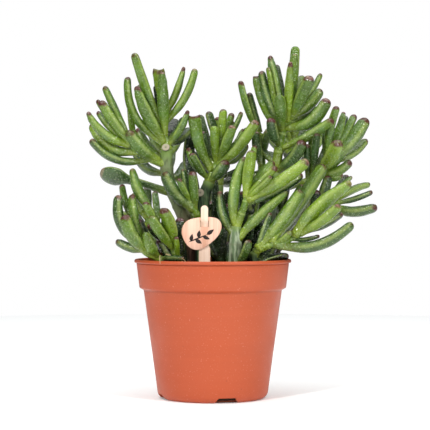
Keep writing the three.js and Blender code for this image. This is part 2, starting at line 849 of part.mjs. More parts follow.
function potProfile() {
  const cornerMiddle = bodyRadius(0) - CORNER_RADIUS * (1 - Math.SQRT1_2);
  const outside = [
    [0, 0],
    [bodyRadius(0) - CORNER_RADIUS, 0],
    [cornerMiddle, CORNER_RADIUS * (1 - Math.SQRT1_2)],
    [bodyRadius(CORNER_RADIUS), CORNER_RADIUS],
    [bodyTopRadius, bodyTopZ],
    [bandFootRadius, bandFootZ],
    [bandTopRadius, POT_HEIGHT - LIP_HEIGHT],
    [LIP_RADIUS, POT_HEIGHT - LIP_HEIGHT + LIP_CHAMFER],
    [LIP_RADIUS - LIP_CHAMFER, POT_HEIGHT],
  ];
  const inside = innerWall(0).reverse();
  const mouth = [bandTopRadius - WALL, POT_HEIGHT - LIP_CHAMFER];
  const floor = [
    [bodyRadius(0) - WALL - CORNER_RADIUS / 2, FLOOR],
    [0, FLOOR],
  ];
  return [...outside, mouth, ...inside, ...floor];
}

// One foot notch's arch, grown by "extra", from "depth" inside the pot's edge to outside it.
function notchBlock(extra, depth) {
  const foot = NOTCH_FOOT_WIDTH / 2 + extra;
  const top = NOTCH_TOP_WIDTH / 2 + extra;
  const below = extra > 0 ? 0 : -1;
  const arch = new THREE.Shape([
    new THREE.Vector2(-foot, below),
    new THREE.Vector2(foot, below),
    new THREE.Vector2(top, NOTCH_HEIGHT + extra),
    new THREE.Vector2(-top, NOTCH_HEIGHT + extra),
  ]);
  const block = new THREE.ExtrudeGeometry(arch, { depth: depth + CORNER_RADIUS, bevelEnabled: false });
  block.rotateX(Math.PI / 2).rotateZ(Math.PI / 2); // the arch stands up and runs along +X
  block.translate(footRadius - depth, 0, 0);
  return block;
}

function atNotches(makeGeometry) {
  return joined(
    Array.from({ length: NOTCH_COUNT }, (_, k) => {
      const angle = THREE.MathUtils.degToRad(NOTCH_ANGLE + (360 * k) / NOTCH_COUNT);
      return solidOf(makeGeometry().rotateZ(angle));
    }),
  );
}

function drainHole() {
  const length = NOTCH_HEIGHT + 4 * WALL;
  const hole = new THREE.CylinderGeometry(DRAIN_RADIUS, DRAIN_RADIUS, length, DRAIN_SEGMENTS);
  hole.rotateX(Math.PI / 2);
  return hole.translate(footRadius - NOTCH_DEPTH / 2, 0, NOTCH_HEIGHT);
}

function makePot() {
  const shell = turned(potProfile(), POT_SEGMENTS);
  const core = turned(
    [[0, 0], [bodyRadius(0) - CORNER_RADIUS, 0], [bodyRadius(0) - WALL / 2, CORNER_RADIUS],
      [bodyRadius(2 * CORNER_RADIUS) - WALL / 2, 2 * CORNER_RADIUS], [0, 2 * CORNER_RADIUS]],
    POT_SEGMENTS,
  );
  const pockets = atNotches(() => notchBlock(WALL, NOTCH_DEPTH + WALL)).intersect(core);
  const notches = atNotches(() => notchBlock(0, NOTCH_DEPTH));
  return shell.add(pockets).subtract(notches).subtract(atNotches(drainHole));
}

function makeSoil(buried) {
  const wall = innerWall(GAP);
  const [low, high] = wall.slice(-2);
  const edge = lerp(low[0], high[0], (soilZ - low[1]) / (high[1] - low[1]));
  const profile = [
    [0, FLOOR + GAP],
    [bodyRadius(0) - WALL - CORNER_RADIUS / 2 - GAP, FLOOR + GAP],
    ...wall.slice(0, -1),
    [edge, soilZ],
    [edge * SOIL_SHOULDER[0], soilZ + SOIL_CROWN * SOIL_SHOULDER[1]],
    [0, soilZ + SOIL_CROWN],
  ];
  const pockets = atNotches(() => notchBlock(WALL + GAP, NOTCH_DEPTH + WALL + GAP));
  return largest(turned(profile, POT_SEGMENTS).subtract(pockets).subtract(buried));
}

// ---- Label ----

const slotZ = POT_HEIGHT + SLOT_ABOVE_RIM;
const discZ = POT_HEIGHT + DISC_ABOVE_RIM;

// A flat plate of the given outline in the XZ plane, its front face at y = front.
function plate(outline, front, thickness) {
  const geometry = new THREE.ExtrudeGeometry(outline, {
    depth: thickness,
    bevelEnabled: false,
    curveSegments: 10,
  });
  return geometry.rotateX(Math.PI / 2).translate(0, front + thickness, 0);
}

function rectangle(width, low, high) {
  const outline = new THREE.Shape();
  outline.moveTo(-width / 2, low);
  outline.lineTo(width / 2, low);
  outline.lineTo(width / 2, high);
  outline.lineTo(-width / 2, high);
  outline.closePath();
  return outline;
}

// The stick: a tongue in front of the disc, and behind it a blade that runs down into the soil.
function makeStick(extra) {
  const tongue = new THREE.Shape();
  const half = TONGUE_WIDTH / 2 + extra;
  tongue.moveTo(-half, slotZ - SLOT_HEIGHT / 2 - extra);
  tongue.lineTo(half, slotZ - SLOT_HEIGHT / 2 - extra);
  tongue.lineTo(half, POT_HEIGHT + TONGUE_TOP - TONGUE_WIDTH / 2);
  tongue.absarc(0, POT_HEIGHT + TONGUE_TOP - TONGUE_WIDTH / 2, half, 0, Math.PI, false);
  tongue.closePath();
  const neck = rectangle(TONGUE_WIDTH + 2 * extra, soilZ, slotZ + BEND_HEIGHT / 2 + extra);
  const blade = rectangle(BLADE_WIDTH + 2 * extra, soilZ - STICK_BURIED, POT_HEIGHT + BLADE_TOP);
  const bendLow = slotZ - BEND_HEIGHT / 2 - extra;
  const bend = rectangle(TONGUE_WIDTH + 2 * extra, bendLow, bendLow + BEND_HEIGHT + 2 * extra);
  const thick = STICK_THICKNESS + 2 * extra;
  const behind = DISC_THICKNESS / 2 + GAP;
  const front = -behind - STICK_THICKNESS;
  const solids = [
    plate(tongue, front - extra, thick),
    plate(neck, behind - extra, thick),
    plate(blade, behind - extra, thick),
    plate(bend, front - extra, 2 * behind + 2 * STICK_THICKNESS + 2 * extra),
  ];
  return joined(solids.map(solidOf)).translate([LABEL_X, LABEL_Y, 0]);
}

// The disc without its slot, grown by "extra" all round
function discPlate(extra) {
  const points = DISC_OUTLINE.map(
    ([x, z]) => new THREE.Vector3(x * (DISC_WIDTH / 2 + extra), z * (DISC_HEIGHT / 2 + extra), 0),
  );
  const edge = new THREE.CatmullRomCurve3(points, true).getPoints(DISC_POINTS).slice(0, -1);
  const outline = new THREE.Shape(
    edge.map(({ x, y }) => new THREE.Vector2(x + DISC_OFFSET, y + discZ)),
  );
  const thickness = DISC_THICKNESS + 2 * extra;
  return solidOf(plate(outline, -thickness / 2, thickness)).translate([LABEL_X, LABEL_Y, 0]);
}

function makeDisc() {
  const slot = rectangle(TONGUE_WIDTH + 2 * GAP, slotZ - SLOT_HEIGHT / 2, slotZ + SLOT_HEIGHT / 2);
  const cut = solidOf(plate(slot, -DISC_THICKNESS, 2 * DISC_THICKNESS));
  return discPlate(0).subtract(cut.translate([LABEL_X, LABEL_Y, 0])).subtract(makeStick(GAP));
}

// ---- Growing the plant ----

const stems = Object.fromEntries(
  Object.entries(SHOOTS).map(([name, { path }]) => [name, stemPoints(path)]),
);
const leaves = Object.entries(SHOOTS).flatMap(([shoot, { leaves: rows, green }]) =>
  rows.map(([along, x, y, z, width, bow, shape = "finger", turn = 0], k) => {
    const tip = place(x, y, z);
    return {
      shoot,
      name: `${shoot}_leaf_${k + 1}`,
      alone: width >= LARGE_LEAF || along < green,
      width: width * LEAF_GIRTH,
      shape,
      turn: THREE.MathUtils.degToRad(turn),
      curve: leafCurve(footOn(stems[shoot], along, tip), tip, bow),
    };
  }),
);
easeApart(
  leaves,
  Object.fromEntries(Object.entries(stems).map(([name, points]) => [name, stemSamples(points)])),
);

const pieces = []; // { name, solid, grown }: each is cut clear of the ones before it
const isNear = (a, b) => {
  const [p, q] = [a.boundingBox(), b.boundingBox()];
  return [0, 1, 2].every((k) => p.min[k] < q.max[k] && q.min[k] < p.max[k]);
};

function clearOf(solid, others) {
  return others
    .filter(({ grown }) => isNear(solid, grown))
    .reduce((left, { grown }) => left.subtract(grown), solid);
}

const stick = { name: "label_stick", solid: makeStick(0), grown: makeStick(GAP) };
const disc = { name: "label_disc", solid: makeDisc(), grown: discPlate(GAP) };
pieces.push(stick, disc);

// Woody stems
for (const [shoot, points] of Object.entries(stems)) {
  const { green } = SHOOTS[shoot];
  if (green === 0) continue;
  const woody = points.slice(0, green + 1);
  const solid = largest(clearOf(stemSolid(woody, 0), pieces));
  pieces.push({ name: `${shoot}_stem`, solid, grown: stemSolid(woody, GAP) });
}
// The green ends of the shoots, on which leaves sit
const axes = Object.entries(stems).map(([shoot, points]) => {
  const soft = points.slice(SHOOTS[shoot].green);
  const solid = largest(clearOf(stemSolid(soft, 0), pieces));
  return { name: shoot, solid, grown: stemSolid(soft, GAP) };
});
// Large leaves
for (const leaf of leaves.filter(({ alone }) => alone)) {
  const solid = largest(clearOf(leafSolid(leaf, 0), [...pieces, ...axes]));
  pieces.push({ name: leaf.name, solid, grown: leafSolid(leaf, GAP) });
}
// Shoots with their small leaves
for (const axis of axes) {
  const small = leaves.filter(({ shoot, alone }) => shoot === axis.name && !alone);
  const others = axes.filter(({ name }) => name !== axis.name);
  const blades = clearOf(joined(small.map((leaf) => leafSolid(leaf, 0))), [...pieces, ...others]);
  const grown = joined([axis.grown, ...small.map((leaf) => leafSolid(leaf, GAP))]);
  pieces.push({ name: `${axis.name}_shoot`, solid: largest(axis.solid.add(blades)), grown });
}

const buried = joined(
  pieces
    .filter(({ grown }) => grown.boundingBox().min[2] < soilZ)
    .map(({ grown }) => grown),
);
pieces.push({ name: "soil", solid: makeSoil(buried) });
pieces.push({ name: "pot", solid: makePot() });

// ---- The part ----

const MATERIALS = {
  pot: { color: "#d96c46", roughness: 0.5 },
  soil: { color: "#3a2a20", roughness: 1 },
  label: { color: "#e8c6a2", roughness: 0.7 },
  stem: { color: "#7c7a4d", roughness: 0.8 },
  leaf: { color: "#4f8f3a", roughness: 0.35 },
};

function materialFor(name) {
  if (MATERIALS[name]) return MATERIALS[name];
  if (name.startsWith("label")) return MATERIALS.label;
  return name.endsWith("_stem") ? MATERIALS.stem : MATERIALS.leaf;
}

const group = new THREE.Group();
for (const { name, solid } of pieces) {
  const material = new THREE.MeshStandardMaterial({ ...materialFor(name), metalness: 0 });
  const mesh = new THREE.Mesh(geometryOf(solid), material);
  mesh.name = name;
  group.add(mesh);
}

export default group;
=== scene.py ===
"""The looks of a potted finger jade plant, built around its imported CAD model.

Metres, +Z up, in the model's own frame: the pot's axis is Z and the plant label faces -Y.
"""

import math
import random

import bpy
import numpy as np
from mathutils import Matrix, Vector, noise


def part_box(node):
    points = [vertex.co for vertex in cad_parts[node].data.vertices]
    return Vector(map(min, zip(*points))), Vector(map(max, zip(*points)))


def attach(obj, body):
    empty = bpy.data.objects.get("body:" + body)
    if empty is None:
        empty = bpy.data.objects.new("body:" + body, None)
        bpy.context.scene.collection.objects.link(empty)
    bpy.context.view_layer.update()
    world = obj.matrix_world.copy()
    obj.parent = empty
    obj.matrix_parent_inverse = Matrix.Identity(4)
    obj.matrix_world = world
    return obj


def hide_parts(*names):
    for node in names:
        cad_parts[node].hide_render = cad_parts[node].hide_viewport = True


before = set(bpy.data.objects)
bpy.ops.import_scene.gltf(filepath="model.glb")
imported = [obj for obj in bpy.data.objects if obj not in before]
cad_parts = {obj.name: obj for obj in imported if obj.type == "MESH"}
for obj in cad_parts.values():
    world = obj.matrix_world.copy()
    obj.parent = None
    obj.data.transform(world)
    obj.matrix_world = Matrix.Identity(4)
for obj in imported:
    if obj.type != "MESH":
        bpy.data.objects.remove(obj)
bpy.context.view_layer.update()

MM = 0.001
SEED = 7

# ---- The plant, as in the CAD model, in millimetres ----

# Each shoot has a path of (x, y, z, radius), from its foot to its growing tip. From path point
# "green" up it is soft and green, and below that it is a woody stem. Each leaf is (place along
# the path, tip x, tip y, tip z, width, bow, shape, turn); the shape is finger if none is given,
# and the turn is in degrees.
SHOOTS = {
  "left": {
    "path": [
      (-14, 2, 66, 5.5), (-15, 2, 102, 5.4), (-19, 0, 128, 5.2), (-26, 0, 147, 5),
      (-32, 0, 160, 4.8), (-35, 0, 175, 4.8), (-35, 0, 189, 4.5), (-37, 0, 200, 2.8),
      (-38, 2, 214, 2),
    ],
    "green": 6,
    "leaves": [
      (7.2, -59, -4, 261, 7, 1), (6.8, -38, -9, 246.5, 8.5, 0, "pointed"),
      (8, -41, 6, 250, 9, 0, "trumpet"), (7.6, -43, 10, 238, 5.5, 0),
      (7.9, -22.5, 3, 252.5, 6.5, 1, "pointed"), (7.6, -14, -5, 250.5, 6.8, 3.5),
      (6.2, -64, -6, 244.5, 7, 9), (6.3, -57, -11, 236, 9.5, 2, "pointed"),
      (7.1, -55.5, 8, 238.5, 5.5, 2), (7, -48, 9, 225, 8.5, 0, "pointed"),
      (6.4, -23, -2, 214, 7, 1.5), (6.2, -19, -8, 218.5, 6, 2, "pointed"), (6.3, -18, 8, 206, 8, 1),
      (6.6, -29, 8, 213, 8, 0), (3.7, -84, -4, 172, 19, 0, "spoon", 55),
    ],
  },
  "left_outer": {
    "path": [
      (-36, 0, 178, 3.6), (-46, -3, 182, 3.2), (-57, -5, 188, 2.8), (-65, -6, 196, 2),
    ],
    "green": 0,
    "leaves": [
      (0.4, -63, -15, 203, 10, 2), (2.3, -63.5, 4, 222, 4.8, 0), (2.6, -82, -2, 237.5, 6.5, 0),
      (2.2, -84, -9, 225.5, 8, 1), (2.7, -88, 4, 227.5, 5, 1),
      (2.4, -94, -12, 217.5, 8, 5, "pointed"), (2.6, -88, 6, 219, 5.5, 2), (1.8, -92, 0, 210, 9, 8),
      (0.9, -92.5, -3, 197.5, 7, 8), (2.8, -72, 8, 214, 6, 1),
    ],
  },
  "lower_left": {
    "path": [
      (-27, -20, 66, 3.6), (-30, -22, 97, 3.4), (-40, -25, 107, 3), (-52, -27, 114, 2.6),
      (-57, -26, 130, 2.2), (-57, -24, 144, 1.8),
    ],
    "green": 2,
    "leaves": [
      (2.5, -64.5, -36, 139.5, 10, 4), (3.1, -69.5, -22, 154.5, 9, 7), (3.4, -72.5, -12, 149, 6, 5),
      (3, -59.5, -31, 154.5, 7.5, 1.5), (4.2, -68.5, -14, 162.5, 5, 3),
      (2.1, -49.5, -38, 126.5, 8.5, 1, "pointed"), (2.8, -72, -18, 120.5, 7, 1),
      (2.3, -55, -20, 136, 7, 0), (2, -22, -33, 107.5, 5, -1),
    ],
  },
  "lower_left_side": {
    "path": [
      (-21, -21, 66, 3), (-24, -24, 98, 2.8), (-28, -27, 112, 2.8), (-35, -27, 124, 2.6),
      (-43, -24, 136, 2.4), (-48, -22, 144, 2),
    ],
    "green": 0,
    "leaves": [
      (2.3, -49.8, -32, 149, 6.5, 1), (3.7, -43.5, -20, 157, 5, 0), (2.2, -36.5, -34, 144, 9, -3),
      (2.1, -45.5, -38, 138.5, 7.5, 0.5), (1.5, -27, -38, 123.5, 4, 0),
      (4.6, -60, -22, 174, 9, 1.5, "pointed"), (3.2, -34, -16, 139.5, 7, 0),
      (2.4, -47, -14, 133, 8, 0), (1.8, -33, -12, 132, 8, 0), (1.2, -24.5, -14, 137, 8, 0),
      (1, -40, -18, 121.5, 9, 0), (0.6, -24, -18, 120, 8, 0),
    ],
  },
  "centre": {
    "path": [
      (-8, -4, 66, 5.6), (-8, -5, 100, 5.4), (-8, -5, 138, 5.2), (-7, -4, 153, 4.8),
      (-3, -2, 164, 4.2), (2, 0, 175, 3.6), (6, 0, 187, 2.8), (8, 1, 197, 2),
    ],
    "green": 4,
    "leaves": [
      (4.6, -14, -7, 214.5, 9.5, 3, "trumpet"), (5.2, -9.5, 7, 216.5, 5.5, 1),
      (6, -3, 4, 218.5, 6.5, 0), (5.2, 1, -13, 206.5, 6.5, 0), (5.5, 8, -6, 219.5, 6.5, 0),
      (6, 14.5, 6, 217.5, 5.5, 0), (5.4, 15, -12, 206.5, 7.5, 0.5), (6.5, 21.5, 3, 218, 4.5, 1),
      (5.6, 23, -5, 205, 5, 2), (5.8, 26, 4, 206.5, 5, 2), (5, 32.5, -7, 210.5, 9, 2),
      (4.2, -18, -9, 190.8, 6, 3), (4.1, -16, -13, 185.7, 6, 1), (2.4, -17, 8, 202, 9, 8),
      (4, 10, -12, 180.5, 9, 1), (4.9, -7, -3, 203, 7, 2),
    ],
  },
  "centre_side": {
    "path": [
      (-8, -6, 134, 3.4), (-13, -12, 141, 3), (-17, -14, 150, 2.4),
    ],
    "green": 0,
    "leaves": [
      (1.1, -35.5, -17, 171.7, 11, 2), (1.8, -25.6, -19, 166.7, 5, 0), (1, -15.2, -21, 172, 6.5, 0),
      (2, -22.2, -13, 174, 5, 0),
    ],
  },
  "mid_right": {
    "path": [
      (17, -27, 66, 5.2), (17, -28, 100, 5.2), (17, -29, 118, 4.6), (17.5, -29, 131, 3.6),
      (21.5, -30, 141, 2.9), (24.5, -31, 150, 2.5), (25, -30, 157, 1.8),
    ],
    "green": 3,
    "leaves": [
      (2.8, 24, -31, 182.5, 9.5, -6), (5.2, 29, -36, 187, 8, -1), (5.6, 31.5, -22, 191.5, 5, -1),
      (5, 69.5, -34, 180.5, 10, 1), (4.8, 66.5, -26, 170.5, 8, 2), (5.5, 45.5, -22, 179.4, 6.5, -2),
      (5.3, 47, -38, 175.5, 6, -1), (5.1, 42.5, -42, 168.4, 5, 0),
      (2.1, 55, -40, 156.8, 9, -2.5, "pointed"), (2.3, 6, -24, 157, 8.5, 3, "pointed"),
      (1, 26.5, -38, 121, 6.5, 1.5),
    ],
  },
  "lower_right": {
    "path": [
      (30, -24, 66, 3.4), (31, -26, 98, 3.2), (31, -28, 112, 2.9), (42, -31, 117, 2.4),
      (52, -33, 119, 2.2), (60, -33, 123, 2), (69, -32, 127, 1.7),
    ],
    "green": 2,
    "leaves": [
      (1.5, 42.5, -38, 141, 7, 0, "pointed"), (2.1, 65, -42, 157.7, 12, 1),
      (2.5, 67, -30, 162, 7, 1), (3.1, 83, -30, 177, 10.5, 0),
      (5, 101.5, -38, 164, 12, -4, "pointed"), (5.6, 104.5, -25, 168.6, 4, -2),
      (5.5, 92.5, -44, 147.1, 8, 1), (5.9, 96.5, -25, 141, 6, 1), (3.2, 103, -38, 134, 9.5, 8),
      (4.6, 79.5, -26, 124.3, 4, 1), (3.4, 58, -38, 127.7, 5, 0.5), (3.2, 72, -22, 152, 9, 0),
    ],
  },
  "inner_right": {
    "path": [
      (20, 12, 66, 3.8), (22, 13, 100, 3.7), (31, 14, 140, 3.4), (37, 14, 168, 3.1),
      (38, 14, 188, 2.6), (37, 13, 202, 2),
    ],
    "green": 1,
    "leaves": [
      (4.8, 21.5, 8, 242, 5.5, 2), (5, 28.5, 12, 233.5, 6, 0), (3.4, 33, 4, 203, 7, 2),
      (3.8, 42, 6, 204, 6, 0), (3.2, 22, 4, 172, 8, 2), (2.4, 44, 0, 166, 9, 2),
      (2.2, 24, -4, 158, 9, 1), (1.6, 38, -6, 142, 9, 2), (1.4, 12, -6, 148, 9, 2),
      (1.3, 28, -12, 132, 8, 1), (1.2, 13, 2, 134, 9, 1), (2, 26, 2, 150, 9, 1),
      (1.1, 42, 0, 119, 9, 1),
    ],
  },
  "right": {
    "path": [
      (34, 4, 66, 4.2), (35, 4, 100, 4.1), (44, 4, 140, 3.9), (48.5, 4, 172, 3.6),
      (50.5, 4, 188, 3.6), (53, 3, 202, 3.4), (59, 3, 212, 2.5), (62, 3, 222, 2),
    ],
    "green": 3,
    "leaves": [
      (4.1, 90.5, -9, 211.6, 7.5, 1), (3, 68, -8, 195.8, 9.5, 2.5),
      (4.9, 34.2, -2, 245.5, 7, 4, "trumpet"), (5.1, 38, -6, 249.5, 7.5, 2),
      (5.3, 44.5, 1, 261, 9.5, -1, "pointed"), (5.8, 49.5, 6, 255.5, 5, 0),
      (5.2, 42.5, -7, 252, 4.5, 1), (5, 50.5, -11, 229.5, 8.5, 0), (4.2, 44, -10, 213, 7.5, 2.5),
      (6, 63.5, 6, 268.5, 7.5, 0), (5.9, 62.3, -4, 261, 8, 0, "pointed"),
      (5.7, 58.3, -9, 254, 6.5, 1, "pointed"), (6.4, 69, 6, 247, 7, 0), (6, 73, -5, 243.5, 9, 0),
      (6.6, 83, 8, 248.5, 5, 2), (6.1, 82, 2, 235.5, 9, 1.5), (5.3, 86.5, -8, 228, 10, 6),
      (3.3, 35, 14, 203, 6, 3), (5.6, 77, 10, 226, 8, 2), (3.2, 62, 8, 188, 8, 1),
    ],
  },
  "upper_right": {
    "path": [
      (47.5, 6, 160, 3), (60, 8, 162, 2.9), (74, 6, 166, 2.8), (84, 3, 173, 2.6), (91, 1, 181, 2.3),
      (96, 1, 191, 1.9),
    ],
    "green": 1,
    "leaves": [
      (3.3, 94, -7, 221.5, 6, -3), (4, 101, 4, 218.5, 6.5, 0, "pointed"),
      (4.3, 103.5, 10, 216, 5, 0), (2.4, 97, 10, 206, 9, 0), (4.6, 109.3, 0, 216.5, 6, 0),
      (4.1, 117, -7, 213.5, 11, 2), (3.8, 118.7, 5, 198, 6.5, 3), (2.7, 94.5, -13, 195, 10, 1),
      (3.1, 100.5, -7, 190.5, 7, 2), (2.5, 105, -14, 181, 8, 2.5), (1.9, 72, -4, 193, 5, 0),
      (2.1, 75.5, 2, 198, 5, 0), (2.2, 79, -8, 201, 5.5, 0), (2.6, 99, -10, 171, 8, 1),
      (3.4, 88, 8, 207, 7, 0),
    ],
  },
  "far_right": {
    "path": [
      (40, 10, 66, 3.4), (41, 10, 99, 3.2), (58, 6, 122, 2.9), (76, 2, 138, 2.6), (88, 0, 146, 2.4),
      (97, 0, 149, 1.9),
    ],
    "green": 3,
    "leaves": [
      (4.2, 121, 2, 163.5, 6, -3), (4.6, 121, -5, 157.5, 5, 0.5), (4, 124.5, -3, 146.5, 9, 3),
      (3.2, 88, -6, 169, 8.5, 0), (3.6, 104, 9, 170, 7, 1), (3, 78, -8, 158, 9, 0),
      (3.2, 96, -2, 160, 8, 1), (3.1, 84, 14, 152, 9, 1),
    ],
  },
  "back_left": {
    "path": [
      (-12, 24, 66, 4.2), (-13, 26, 99, 4.1), (-22, 34, 132, 3.8), (-33, 40, 160, 3.4),
      (-39, 43, 182, 2.8), (-40, 44, 194, 2.2),
    ],
    "green": 3,
    "leaves": [
      (4.9, -44, 48, 228, 7, 1), (4.6, -34, 38, 222, 7, 1), (4.4, -53, 41, 222, 7, 2),
      (4.6, -38, 60, 220, 8, 2), (4.1, -59, 52, 208, 8, 3), (4.2, -48, 66, 204, 8, 3),
      (4, -26, 58, 206, 7, 2), (3.7, -34, 74, 192, 9, 4), (3.5, -62, 60, 192, 8, 6),
      (3.3, -22, 66, 182, 8, 4),
    ],
  },
  "back_mid": {
    "path": [
      (6, 28, 66, 4), (6, 30, 99, 4), (5, 36, 135, 3.7), (5, 42, 162, 3.2), (8, 45, 180, 2.5),
      (9, 46, 190, 2),
    ],
    "green": 3,
    "leaves": [
      (4.4, -8, 50, 208, 7, 2), (4.8, 4, 42, 216, 7, 0), (4.7, 14, 52, 214, 8, 1),
      (4.3, 23, 46, 206, 7, 2), (4.2, -4, 64, 200, 8, 3), (4.1, 10, 68, 204, 8, 3),
      (4, 26, 62, 196, 8, 3), (3.5, -16, 56, 190, 8, 4), (3.4, 30, 56, 184, 7, 3),
      (3.3, 1, 74, 184, 9, 5), (3.1, 20, 72, 176, 8, 4),
    ],
  },
  "back_right": {
    "path": [
      (28, 26, 66, 4.2), (30, 28, 99, 4.1), (42, 36, 135, 3.8), (56, 42, 165, 3.4),
      (62, 45, 188, 2.8), (64, 46, 200, 2.2),
    ],
    "green": 3,
    "leaves": [
      (4.6, 52, 50, 236, 7, 1), (4.9, 62, 48, 244, 8, 0), (4.8, 74, 52, 236, 7, 1),
      (4.3, 44, 44, 226, 7, 3), (4.4, 84, 46, 222, 8, 4), (4.5, 58, 64, 228, 8, 3),
      (4.3, 73, 68, 220, 8, 4), (4, 44, 64, 208, 8, 3), (3.9, 88, 60, 206, 8, 5),
      (3.8, 61, 78, 206, 9, 6), (3.5, 80, 76, 192, 8, 6), (3.4, 46, 74, 190, 8, 5),
    ],
  },
  "back_low_left": {
    "path": [
      (-26, 18, 66, 3.4), (-31, 22, 99, 3.2), (-42, 31, 112, 2.8), (-50, 38, 126, 2.4),
      (-52, 41, 140, 2),
    ],
    "green": 0,
    "leaves": [
      (3.7, -62, 42, 156, 8, 1), (3.8, -53, 54, 160, 8, 1), (3.3, -70, 36, 142, 8, 4),
      (3.1, -62, 58, 140, 9, 3), (3.2, -44, 62, 144, 8, 2), (2.7, -63, 46, 127, 8, 2),
      (2.3, -38, 62, 126, 8, 2), (2.6, -56, 66, 120, 8, 1),
    ],
  },
  "back_low_right": {
    "path": [
      (24, 32, 66, 3.4), (27, 36, 99, 3.2), (38, 44, 114, 2.8), (50, 50, 128, 2.4),
      (54, 53, 142, 2),
    ],
    "green": 0,
    "leaves": [
      (3.6, 44, 50, 162, 8, 0), (3.9, 58, 54, 168, 8, 0), (3.7, 68, 48, 160, 8, 2),
      (3.5, 52, 70, 158, 9, 3), (3.3, 68, 66, 150, 8, 3), (3, 77, 54, 142, 8, 4),
      (2.8, 34, 62, 146, 8, 2), (2.7, 50, 78, 138, 8, 3), (2.6, 68, 70, 126, 8, 3),
      (2.2, 36, 72, 124, 8, 2),
    ],
  },
  "back_low_mid": {
    "path": [
      (-4, 38, 66, 3), (-5, 42, 99, 2.9), (-8, 54, 115, 2.5), (-9, 60, 129, 2.1),
    ],
    "green": 0,
    "leaves": [
      (2.7, -20, 62, 146, 8, 1), (2.9, -8, 68, 156, 8, 0), (2.6, 5, 62, 148, 8, 1),
      (2.4, -24, 74, 130, 8, 2), (2.3, -8, 82, 138, 9, 3), (2.2, 9, 76, 130, 8, 2),
      (2, -16, 82, 117, 8, 1), (1.9, 8, 34, 132, 9, 1), (1.6, -3, 22, 150, 9, 0),
    ],
  },
}

# Leaves that are darker than most, brighter and yellower, and darkest, deep inside the plant,
# where their near-black is painted shade. A leaf's tint is from 0, dark, to 1, bright.
DARK = {
    "left": (10, 11, 13, 15), "left_outer": (9, 10), "lower_left": (2, 3, 7, 9),
    "lower_left_side": (2, 7), "centre": (2, 3, 15, 16), "centre_side": (1, 4),
    "mid_right": (5, 10, 11), "lower_right": (1, 8, 9, 10), "inner_right": (2, 3),
    "right": (2, 4, 6, 9, 18), "upper_right": (3, 4, 11, 13), "far_right": (2, 3, 4, 5),
    "back_left": (8, 9, 10), "back_mid": (10, 11), "back_right": (10, 11, 12),
    "back_low_left": (4, 7, 8), "back_low_mid": (5, 7), "back_low_right": (8, 9, 10),
}
BRIGHT = {
    "left": (3, 5), "left_outer": (8,), "lower_left_side": (3, 5), "centre": (4, 5, 11),
    "mid_right": (2, 4, 7, 8), "lower_right": (5, 7, 11), "right": (7, 12, 13),
    "upper_right": (8,), "far_right": (1,), "back_left": (1, 4), "back_mid": (2, 5),
    "back_right": (1, 5), "back_low_right": (1, 4),
}
# the darkest leaves, deep inside the plant, get a near-black painted shade
SHADED_LEAVES = {
    "left": (4, 14), "lower_left": (8,), "lower_left_side": (8, 9, 10, 11, 12), "centre": (14,),
    "inner_right": (5, 6, 7, 8, 9, 10, 11, 12, 13), "lower_right": (12,), "right": (20,),
    "far_right": (6, 7, 8), "back_low_mid": (1, 2, 3, 8, 9), "back_low_left": (5,),
    "back_low_right": (1, 2, 7), "back_mid": (8, 9),
}
LEAF_TINTS = ((SHADED_LEAVES, (0.0, 0.08)), (BRIGHT, (0.78, 1.0)), (DARK, (0.18, 0.34)))
USUAL_TINTS = (0.42, 0.7)
GREEN_TIPS = ("right_leaf_8", "right_leaf_10", "centre_leaf_4", "left_leaf_10", "lower_left_leaf_6")
LARGE_LEAF = 9.5  # leaves at least this wide are pieces of their own, and so are those on woody stems

# ---- The pot: where it is, from the frame, and its own sizes, as in the CAD model ----

LIP_RADIUS, _, RIM = Vector(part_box("pot")[1])
LIP_HEIGHT = 2.8 * MM
BAND_TOP_RADIUS = LIP_RADIUS - 1.8 * MM
BAND_FOOT_RADIUS = BAND_TOP_RADIUS - 2.2 * MM
BAND_FOOT_Z = RIM - 21.8 * MM
BODY_TOP_RADIUS = BAND_FOOT_RADIUS - 3.2 * MM
BODY_TOP_Z = BAND_FOOT_Z - 1.7 * MM
FOOT_RADIUS = BODY_TOP_RADIUS - 11.2 * MM
CORNER = 4 * MM
WALL = 1.2 * MM
FLOOR = 1.4 * MM
NOTCH_COUNT = 4
NOTCH_ANGLE = -75
NOTCH_FOOT_WIDTH = 19.5 * MM
NOTCH_TOP_WIDTH = 13 * MM
NOTCH_HEIGHT = 4 * MM
NOTCH_DEPTH = 8 * MM
DRAIN_RADIUS = 2.5 * MM


# ---- Numbers and curves ----

def smoothstep(low, high, x):
    f = min(max((x - low) / (high - low), 0.0), 1.0)
    return f * f * (3 - 2 * f)


def lerp(a, b, f):
    return a + (b - a) * f


def unit(v):
    return v / np.linalg.norm(v)


def catmull(p0, p1, p2, p3, f):
    """A point between p1 and p2 on a smooth curve through all four."""
    return 0.5 * (2 * p1 + (p2 - p0) * f + (2 * p0 - 5 * p1 + 4 * p2 - p3) * f * f
                  + (3 * p1 - p0 - 3 * p2 + p3) * f ** 3)


def circle(sides):
    """The cosine and sine of angles evenly round a circle."""
    angles = (2 * math.pi * k / sides for k in range(sides))
    return [(math.cos(angle), math.sin(angle)) for angle in angles]


def table_value(table, x, column):
    """A column of a table of (x, ...) rows at x, eased between its rows."""
    for row, after in zip(table, table[1:]):
        if x <= after[0]:
            return lerp(row[column], after[column], smoothstep(row[0], after[0], x))
    return table[-1][column]


# ---- Meshes and pieces ----

def mesh_object(name, verts, faces, attributes=None, smooth=True):
    """A new mesh object with its float attributes, one value for each vertex."""
    mesh = bpy.data.meshes.new(name)
    mesh.from_pydata([tuple(v) for v in verts], [], faces)
    for key, values in (attributes or {}).items():
        mesh.attributes.new(key, "FLOAT", "POINT").data.foreach_set("value", list(values))
    mesh.polygons.foreach_set("use_smooth", [smooth] * len(mesh.polygons))
    mesh.update()
    piece = bpy.data.objects.new(name, mesh)
    bpy.context.scene.collection.objects.link(piece)
    return piece


